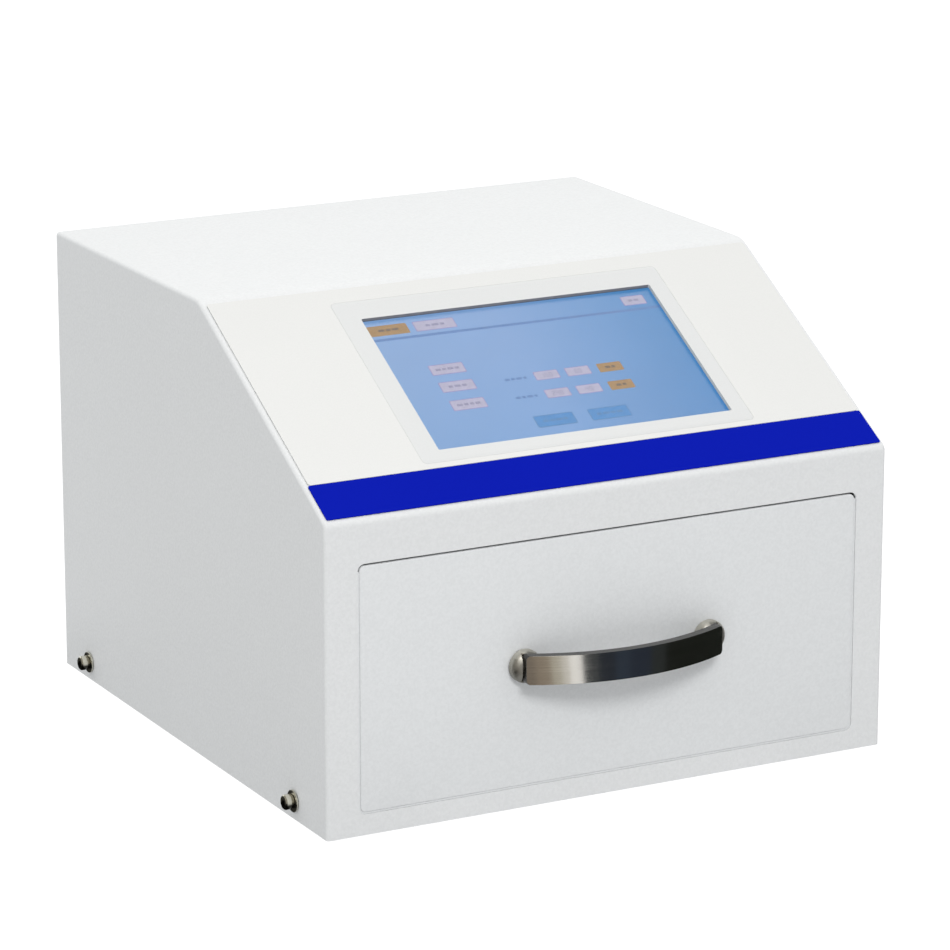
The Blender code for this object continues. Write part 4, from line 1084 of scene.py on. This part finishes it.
def page():
    """The lit page: tabs over a rule, three menu buttons, two rows of settings and two buttons below."""
    plates = [plate(PAGE, 0, "page"), plate(PAGE_RULE, 1, "rule")]
    plates += button(ORANGE_TAB, "orange", "orange", (3.2, 2.4, 3.4), "umber")
    for tab, dashes in zip(PINK_TABS, ((2.4, 3.6, 2.2), (2.2, 2.6))):
        plates += button(tab, "pink", "mauve", dashes)
    for box, dashes in zip(MENU_BUTTONS, ((2.6, 2.0, 3.0, 2.2), (2.2, 3.2, 2.4), (3.0, 2.2, 2.0, 2.6))):
        plates += button(box, "pink", "mauve", dashes)
    for low, high, numbers in ROWS:
        plates += dash_row((*ROW_LABEL, low, high), 1, (2.6, 1.8, 3.0, 1.6), "rule")
        for (left, right), number in zip(ROW_BOXES, numbers):
            box = (left, right, low, high)
            plates += [plate(box, 1, "mauve", 0.5), plate(inset(box, 0.4), 2, "pink", 0.3)]
            start = (left + right - 2.1 * len(number) + 0.6) / 2
            for place, shape in enumerate(number):
                plates += digit(shape, start + 2.1 * place, (low + high) / 2 - 1.4)
        plates += button((*ROW_BUTTON, low, high), "orange", "orange", (2.6, 2.0), "umber")
    for box, dashes in zip(FOOT_BUTTONS, ((3.0, 2.2, 3.4, 2.0), (2.4, 3.4, 2.4, 3.0))):
        plates += button(box, "cyan", "teal", dashes, "teal")
    return merged(*plates)


# Drawer


def handle_screw_rods(radius, start, end):
    rods = []
    for sign in SIDES.values():
        rods.append(rod("Y", (HANDLE_X + sign * HANDLE_SPACING / 2, HANDLE_Z), radius, start, end))
    return merged(*rods)


def make_drawer_front():
    """The drawer's folded front pan."""
    pan = prism("Y", drawer_outline(0), 0, DRAWER_DEPTH)

    def front_edge(edge):
        return both_ends(edge, lambda point: abs(point.y) < 1e-6)

    pan = bevelled(pan, front_edge, DRAWER_EDGE, 4)
    size = grown((2 * DRAWER_HALF, DRAWER_Z[1] - DRAWER_Z[0]), -SHEET)
    inside = rectangle((0, sum(DRAWER_Z) / 2), size, DRAWER_CORNER - SHEET / 2)
    inside = prism("Y", inside, SHEET, 2 * DRAWER_DEPTH)
    pan = cut(pan, inside, handle_screw_rods(SCREW_HOLE, -SHEET, 2 * SHEET))
    piece("drawer_pan", pan, "drawer_coat", "drawer", "powder_coat", "drawer_front")


def make_drawer_lip():
    """A pale lip on the pan that closes the gap to the cover below and at both sides."""
    lip = prism("Y", drawer_outline(DRAWER_GAP - LIP_CLEAR), *LIP_Y)
    hole = prism("Y", drawer_outline(CLOSE), -SHEET, 2 * LIP_Y[1])
    top = DRAWER_Z[1] - DRAWER_CORNER
    lip = cut(lip, hole, block((-HALF, -SHEET, top), (HALF, 2 * LIP_Y[1], top + 2 * DRAWER_CORNER)))
    piece("drawer_lip", lip, "drawer_coat", "drawer", "powder_coat")


def bow_band(inner, outer, half, rise, steps=72):
    """A curved band seen from above, bowed towards -Y about a centre behind the drawer front."""
    centre = BOW_RADIUS - HANDLE_REACH
    points = []
    for radius, order in ((outer, 1), (inner, -1)):
        swing = math.asin(half / radius)
        for step in range(steps + 1):
            turn = order * (2 * step / steps - 1) * swing
            points.append((HANDLE_X + radius * math.sin(turn), centre - radius * math.cos(turn)))
    return prism("Z", points, HANDLE_Z - rise, HANDLE_Z + rise)


def make_handle():
    """The brushed bow on its two round posts."""
    inner = BOW_RADIUS - BOW_THICKNESS
    rise = BOW_HEIGHT / 2
    front_view = rectangle((HANDLE_X, HANDLE_Z), (2 * BOW_HALF - GAP, BOW_HEIGHT + GAP), BOW_CORNER, 10)
    front_view = prism("Y", front_view, -2 * HANDLE_REACH, HANDLE_REACH)
    bow = combined(bow_band(inner, BOW_RADIUS, BOW_HALF, rise), "INTERSECT", front_view)
    # The top, bottom and back faces take the darker nickel copy: painted shade
    for face in bow.polygons:
        face.material_index = int(abs(face.normal.z) > 0.5 or face.normal.y > -0.5)
    piece(
        "bow_strap", bow, ["nickel", "nickel_painted_shade"], "drawer", "brushed_nickel", "handle_bow",
        edge=0.0007, segments=5,
    )
    radius = POST_RADIUS
    profile = [
        (radius - 0.0003, GAP),
        (radius, GAP + 0.0003),
        (radius, 0.0026),
        (radius - 0.0003, 0.0034),
        (radius - 0.0010, 0.0043),
        (radius - 0.0022, 0.0052),
        (radius - 0.0038, 0.0058),
        (radius - 0.0054, POST_HEIGHT),
    ]
    seat = bow_band(inner - CLOSE, BOW_RADIUS, BOW_HALF + CLOSE, radius + CLOSE)
    for side, sign in SIDES.items():
        at = Vector((HANDLE_X + sign * HANDLE_SPACING / 2, 0, HANDLE_Z))
        post = moved(turned(profile, steps=64), Matrix.Rotation(math.pi / 2, 4, "X"), at)
        post = cut(post, seat.copy(), rod("Y", (at.x, at.z), SCREW_HOLE, -0.0040, 0.001))
        piece(f"post_{side}", post, "post_nickel", "drawer", "brushed_nickel", f"handle_post_{side}")


def make_gasket():
    """The plaited seal round the drawer's box."""
    middle = (0, sum(GASKET_Z) / 2)
    size = (2 * GASKET_HALF, GASKET_Z[1] - GASKET_Z[0])
    hole = rectangle(middle, grown(size, -GASKET_WIDTH), 0.001)
    rope = prism("Y", rectangle(middle, size, 0.004), *GASKET_Y)
    rope = cut(rope, prism("Y", hole, 0, 2 * GASKET_Y[1]))
    piece("seal_rope", rope, "gasket", "drawer", "gasket", "drawer_gasket", edge=0.0016, segments=5)


# Heater


def make_tubes():
    """Four quartz tubes, each round a coil of resistance wire between ceramic plugs."""
    wall = 0.0009
    profile = [
        (TUBE_RADIUS - wall, -TUBE_HALF),
        (TUBE_RADIUS - 0.0002, -TUBE_HALF),
        (TUBE_RADIUS, 0.0002 - TUBE_HALF),
        (TUBE_RADIUS, TUBE_HALF - 0.0002),
        (TUBE_RADIUS - 0.0002, TUBE_HALF),
        (TUBE_RADIUS - wall, TUBE_HALF),
    ]
    coil_half, coil_radius, turns, steps = 0.098, 0.0027, 56, 10
    for number, y in enumerate(TUBE_Y, start=1):
        at = Vector((0, y, TUBE_Z))
        tube = moved(turned(profile, "X", hollow=True), at)
        piece(f"heater_tube_{number}", tube, "quartz", "chassis", "quartz", f"quartz_tube_{number}")
        helix = []
        for step in range(turns * steps + 1):
            turn = 2 * math.pi * step / steps
            along = coil_half * (2 * step / (turns * steps) - 1)
            helix.append((along, coil_radius * math.cos(turn), coil_radius * math.sin(turn)))
        coil = moved(swept(helix, 0.0004, 5), at)
        piece(f"heater_coil_{number}", coil, "coil", "chassis", "stainless")
        plug_profile = [(0.0038, 0.0985), (0.0039, 0.0990), (0.0039, 0.1115), (0.0034, 0.1120)]
        plugs = []
        for sign in SIDES.values():
            ends = [(radius, sign * height) for radius, height in plug_profile]
            plugs.append(turned(ends, "X", 32))
        plug = moved(merged(*plugs), at)
        piece(f"heater_plugs_{number}", plug, "ceramic", "chassis", "ceramic")


# Rear


def make_rear_panel():
    """The back, with the fan's hole, the inlet's cut-out, two banks of vents and its screws."""
    top = HEIGHT - SHEET - GAP
    panel = rectangle((0, (top + GAP) / 2), (2 * REAR_HALF, top - GAP), 0.001)
    through = (REAR_Y - SHEET, DEPTH + SHEET)
    inlet = rectangle(INLET_AT, grown(INLET_BODY, GAP))
    vents = []
    for sign in SIDES.values():
        for row in range(7):
            slot = rectangle((sign * 0.070, 0.150 + 0.0085 * row), (0.060, 0.004), 0.00195)
            vents.append(prism("Y", slot, *through))
    panel = cut(
        prism("Y", panel, REAR_Y, DEPTH),
        rod("Y", (0, FAN_Z), FAN_HOLE, *through, steps=96),
        prism("Y", inlet, *through),
        merged(*vents),
    )
    piece("rear_plate", panel, "coat", "chassis", "powder_coat", "rear_panel", edge=0.00025)
    high, low, outer = 0.2075, 0.0105, 0.1345
    places = [(x, z) for x in (-outer, outer) for z in (low, 0.110, high)] + [(0, high)]
    for number, (x, z) in enumerate(places, start=1):
        screw = moved(pan_head(0.0032, 0.0021), TURN["Y"], Vector((x, DEPTH + 0.0001, z)))
        piece(f"rear_screw_{number}", screw, "zinc", "chassis", "zinc_screw")


def make_fan():
    """The fan's frame, its rotor and its wire guard with four screws."""
    back = REAR_Y - GAP
    front = FAN_FRONT
    frame_block = prism("Y", rectangle((0, FAN_Z), (FAN_SIZE, FAN_SIZE), 0.004), front, back)
    corners = [(x, FAN_Z + z) for x in (-FAN_SCREWS, FAN_SCREWS) for z in (-FAN_SCREWS, FAN_SCREWS)]
    holes = [rod("Y", corner, SCREW_HOLE, front - SHEET, back + SHEET) for corner in corners]
    bore = rod("Y", (0, FAN_Z), FAN_HOLE - 0.0002, front - SHEET, back + SHEET, steps=96)
    frame_block = cut(frame_block, bore, merged(*holes))
    reach, half = FAN_HOLE + 0.001, 0.0015
    frame_block = joined(
        frame_block,
        rod("Y", (0, FAN_Z), FAN_HUB, front, front + 0.004, steps=64),
        block((-reach, front + 0.0004, FAN_Z - half), (reach, front + 0.0030, FAN_Z + half)),
        block((-half, front + 0.0006, FAN_Z - reach), (half, front + 0.0032, FAN_Z + reach)),
    )
    piece("fan_housing", frame_block, "black", "chassis", "black_plastic", "fan_frame", edge=0.0003)
    start, length, edge = front + 0.0050, back - 0.0015 - front - 0.0050, 0.0014
    hub = [(FAN_HUB - 0.0004, 0), (FAN_HUB, 0.0004), (FAN_HUB, length - edge)]
    hub += [(FAN_HUB - 0.3 * edge, length - 0.3 * edge), (FAN_HUB - edge, length)]
    hub = moved(turned(hub, "Y", 64), Vector((0, start, 0)))
    turns = [2 * math.pi * index / FAN_BLADES for index in range(FAN_BLADES)]
    rotor = joined(hub, merged(*[fan_blade(turn, start + length / 2) for turn in turns]))
    rotor = moved(rotor, Vector((0, 0, FAN_Z)))
    piece("fan_wheel", rotor, "black", "fan_rotor", "black_plastic", "fan_rotor")
    make_guard(corners)


def fan_blade(turn, middle):
    """A blade of lens section, flatter towards its tip."""
    stations, steps = 9, 8
    rings = []
    for station in range(stations):
        part_out = station / (stations - 1)
        radius = FAN_HUB - 0.002 + part_out * (FAN_HOLE - 0.0015 - FAN_HUB + 0.002)
        pitch = math.radians(48 - 16 * part_out)
        half_chord = 0.0105 + 0.0035 * part_out
        ring = []
        for step in range(2 * steps):
            part_way = step / steps
            along = part_way * 2 - 1 if part_way <= 1 else 3 - part_way * 2
            side = 1 if part_way < 1 else -1
            swell = 1 - along * along
            off = side * (0.00018 + 0.00062 * swell) + 0.0010 * swell
            across = half_chord * along * math.cos(pitch) - off * math.sin(pitch)
            depth = half_chord * along * math.sin(pitch) * 0.62 + off * math.cos(pitch)
            angle = turn + across / radius
            ring.append((radius * math.cos(angle), middle + depth, radius * math.sin(angle)))
        rings.append(ring)
    return skinned(rings)


def make_guard(corners):
    """Wire rings on four spokes that end in eyes under the fan's screws."""
    wires = []
    for radius in GUARD_RINGS:
        ring = [(x, GUARD_Y, FAN_Z + z) for x, z in circle((0, 0), radius, 72)]
        wires.append(swept(ring, GUARD_WIRE, 10, closed=True))
    drop = GUARD_Y - 1.5 * GUARD_WIRE
    reach = (GUARD_REACH - 0.0030) / math.sqrt(2)
    for sign in SIDES.values():
        ends = [(-reach, drop, FAN_Z - sign * reach), (reach, drop, FAN_Z + sign * reach)]
        wires.append(swept(ends, GUARD_WIRE, 12))
    for x, z in corners:
        eye = [(u, drop, v) for u, v in circle((x, z), 0.0031, 28)]
        wires.append(swept(eye, GUARD_WIRE * 0.9, 8, closed=True))
    piece("finger_guard", merged(*wires), "zinc", "chassis", "zinc_screw", "fan_guard")
    for number, (x, z) in enumerate(corners, start=1):
        screw = moved(pan_head(0.0034, 0.0018), TURN["Y"], Vector((x, drop + 0.0009, z)))
        piece(f"fan_screw_{number}", screw, "zinc", "chassis", "zinc_screw")


def socket_outline(inset_by=0.0):
    """The mains socket's outline: its two upper corners are cut off."""
    width, height = SOCKET_SIZE
    x, z = INLET_AT[0], INLET_AT[1] + SOCKET_RISE
    left, right = x - width / 2 + inset_by, x + width / 2 - inset_by
    low, high = z - height / 2 + inset_by, z + height / 2 - inset_by
    chamfer = 0.0050
    corners = [(left, low), (right, low), (right, high - chamfer), (right - chamfer, high)]
    corners += [(left + chamfer, high), (left, high - chamfer)]
    return rounded(corners, 0.0009, 3)


def make_inlet():
    """The mains inlet with its pins, its fuse drawer and its rocker switch."""
    seat = DEPTH + GAP
    module = joined(
        prism("Y", rectangle(INLET_AT, INLET_FLANGE, 0.003), seat, INLET_FACE),
        prism("Y", rectangle(INLET_AT, INLET_BODY), DEPTH - 0.025, seat + GAP),
    )
    fuse_at = (INLET_AT[0], INLET_AT[1] + FUSE_RISE)
    fuse_pocket = rectangle(fuse_at, grown(FUSE_SIZE, GAP))
    rocker_at = (INLET_AT[0], INLET_AT[1] + ROCKER_RISE)
    rocker_pocket = rectangle(rocker_at, (ROCKER_SIZE[0] + 4 * GAP, ROCKER_SIZE[1] + 0.0028))
    module = cut(
        module,
        prism("Y", socket_outline(), INLET_FACE - SOCKET_DEPTH, INLET_FACE + SHEET),
        prism("Y", fuse_pocket, INLET_FACE - FUSE_DEPTH - GAP, INLET_FACE + SHEET),
        prism("Y", rocker_pocket, ROCKER_PIVOT_Y - 0.0080, DEPTH + 0.0060),
    )
    piece("inlet_body", module, "black", "chassis", "black_plastic", "inlet_module", edge=0.0003)
    pins = []
    for offset, lift in ((-0.007, -0.0015), (0, 0.0025), (0.007, -0.0015)):
        middle = (INLET_AT[0] + offset, INLET_AT[1] + SOCKET_RISE + lift)
        start = INLET_FACE - SOCKET_DEPTH - 0.0005
        pins.append(prism("Y", rectangle(middle, (0.002, 0.004), 0.0003, 2), start, INLET_FACE - SHEET))
    piece("inlet_pins", merged(*pins), "brass", "chassis", "zinc_screw", edge=0.0003)
    drawer = prism("Y", rectangle(fuse_at, FUSE_SIZE), INLET_FACE - FUSE_DEPTH, INLET_FACE + 0.0010)
    grip = rectangle((fuse_at[0], fuse_at[1] + FUSE_SIZE[1] / 2), (0.0070, 0.0030), 0.0008)
    drawer = cut(drawer, prism("Y", grip, INLET_FACE - 0.0010, INLET_FACE + 0.0020))
    piece("fuse_tray", drawer, "black", "fuse_drawer", "black_plastic", "fuse_drawer", edge=0.0003)
    make_rocker(rocker_at)


def make_rocker(at):
    """The rocker, tilted to its off side, with an on bar and an off ring."""
    width, half = ROCKER_SIZE[0], ROCKER_SIZE[1] / 2
    tip, waist = 0.0052, 0.0036
    outline = [(-0.0035, -0.0030), (-0.0035, 0.0030), (0, half)]
    outline += [(tip, half), (waist, 0), (tip, -half), (0, -half)]
    place = CABINET @ Matrix.Translation((at[0], ROCKER_PIVOT_Y, at[1]))
    place = place @ Matrix.Rotation(ROCKER_TILT, 4, "X")
    body = prism("X", rounded(outline, [0, 0, 0, 0.0009, 0.012, 0.0009, 0]), -width / 2, width / 2)
    piece(
        "rocker_cap", body, "red", "rocker_switch", "rocker_red", "rocker_switch",
        place=place, edge=0.0004, segments=3,
    )
    lean = math.atan2(tip - waist, half)
    ring = [(0.0016, 0), (0.0023, 0), (0.0023, 0.0002), (0.0016, 0.0002)]
    on_bar = block((-0.0004, -0.0022, 0), (0.0004, 0.0022, 0.0002))
    marks = []
    for mark, sign in ((on_bar, 1), (turned(ring, steps=40, hollow=True), -1)):
        face = Vector((0, (tip + waist) / 2 - 0.00005, sign * half / 2))
        marks.append(moved(mark, TURN["Y"], Matrix.Rotation(-sign * lean, 4, "X"), face))
    piece("rocker_marks", merged(*marks), "marking", "rocker_switch", "rocker_red", place=place)


def dress_frame():
    """CAD nodes that keep their shape: (finish, edge rounding, nodes)."""
    sides = tuple(SIDES)
    groups = (
        ("coat", 0.0003, ["base_pan"]),
        ("insulation", 0.0004, ["drawer_insulation", "hood_blanket"]),
        ("stainless", 0.0002, ["drawer_box", "board_rack", "heater_hood"]),
        ("zinc", 0.0001, [f"handle_screw_{side}" for side in sides]),
        ("galvanised", 0.0002, [f"slide_{kind}_{side}" for kind in SLIDE_PARTS for side in sides]),
        ("galvanised", 0.0003, [f"side_frame_{side}" for side in sides]),
        ("galvanised", 0.0003, ["front_bulkhead", "electronics_deck", "power_supply"]),
        ("ceramic", 0.0004, [f"tube_holder_{side}" for side in sides]),
        ("coil", 0.0001, ["thermocouple"]),
        ("relay", 0.0006, ["solid_state_relay"]),
        ("control_board", 0.0002, ["control_board"]),
        ("display_board", 0.0002, ["display_board"]),
    )
    for finish, edge, nodes in groups:
        for node in nodes:
            dress(node, finish, edge)


def make_scene():
    bpy.context.scene.view_settings.view_transform = "Standard"
    make_camera()
    make_world()
    make_floor()
    make_softbox()
    make_mirror_cards()
    FINISHES.update(make_finishes())
    make_cover()
    make_feet()
    make_side_screws()
    make_films()
    make_bezel()
    make_display()
    make_drawer_front()
    make_drawer_lip()
    make_handle()
    make_gasket()
    make_tubes()
    make_rear_panel()
    make_fan()
    make_inlet()
    dress_frame()


make_scene()
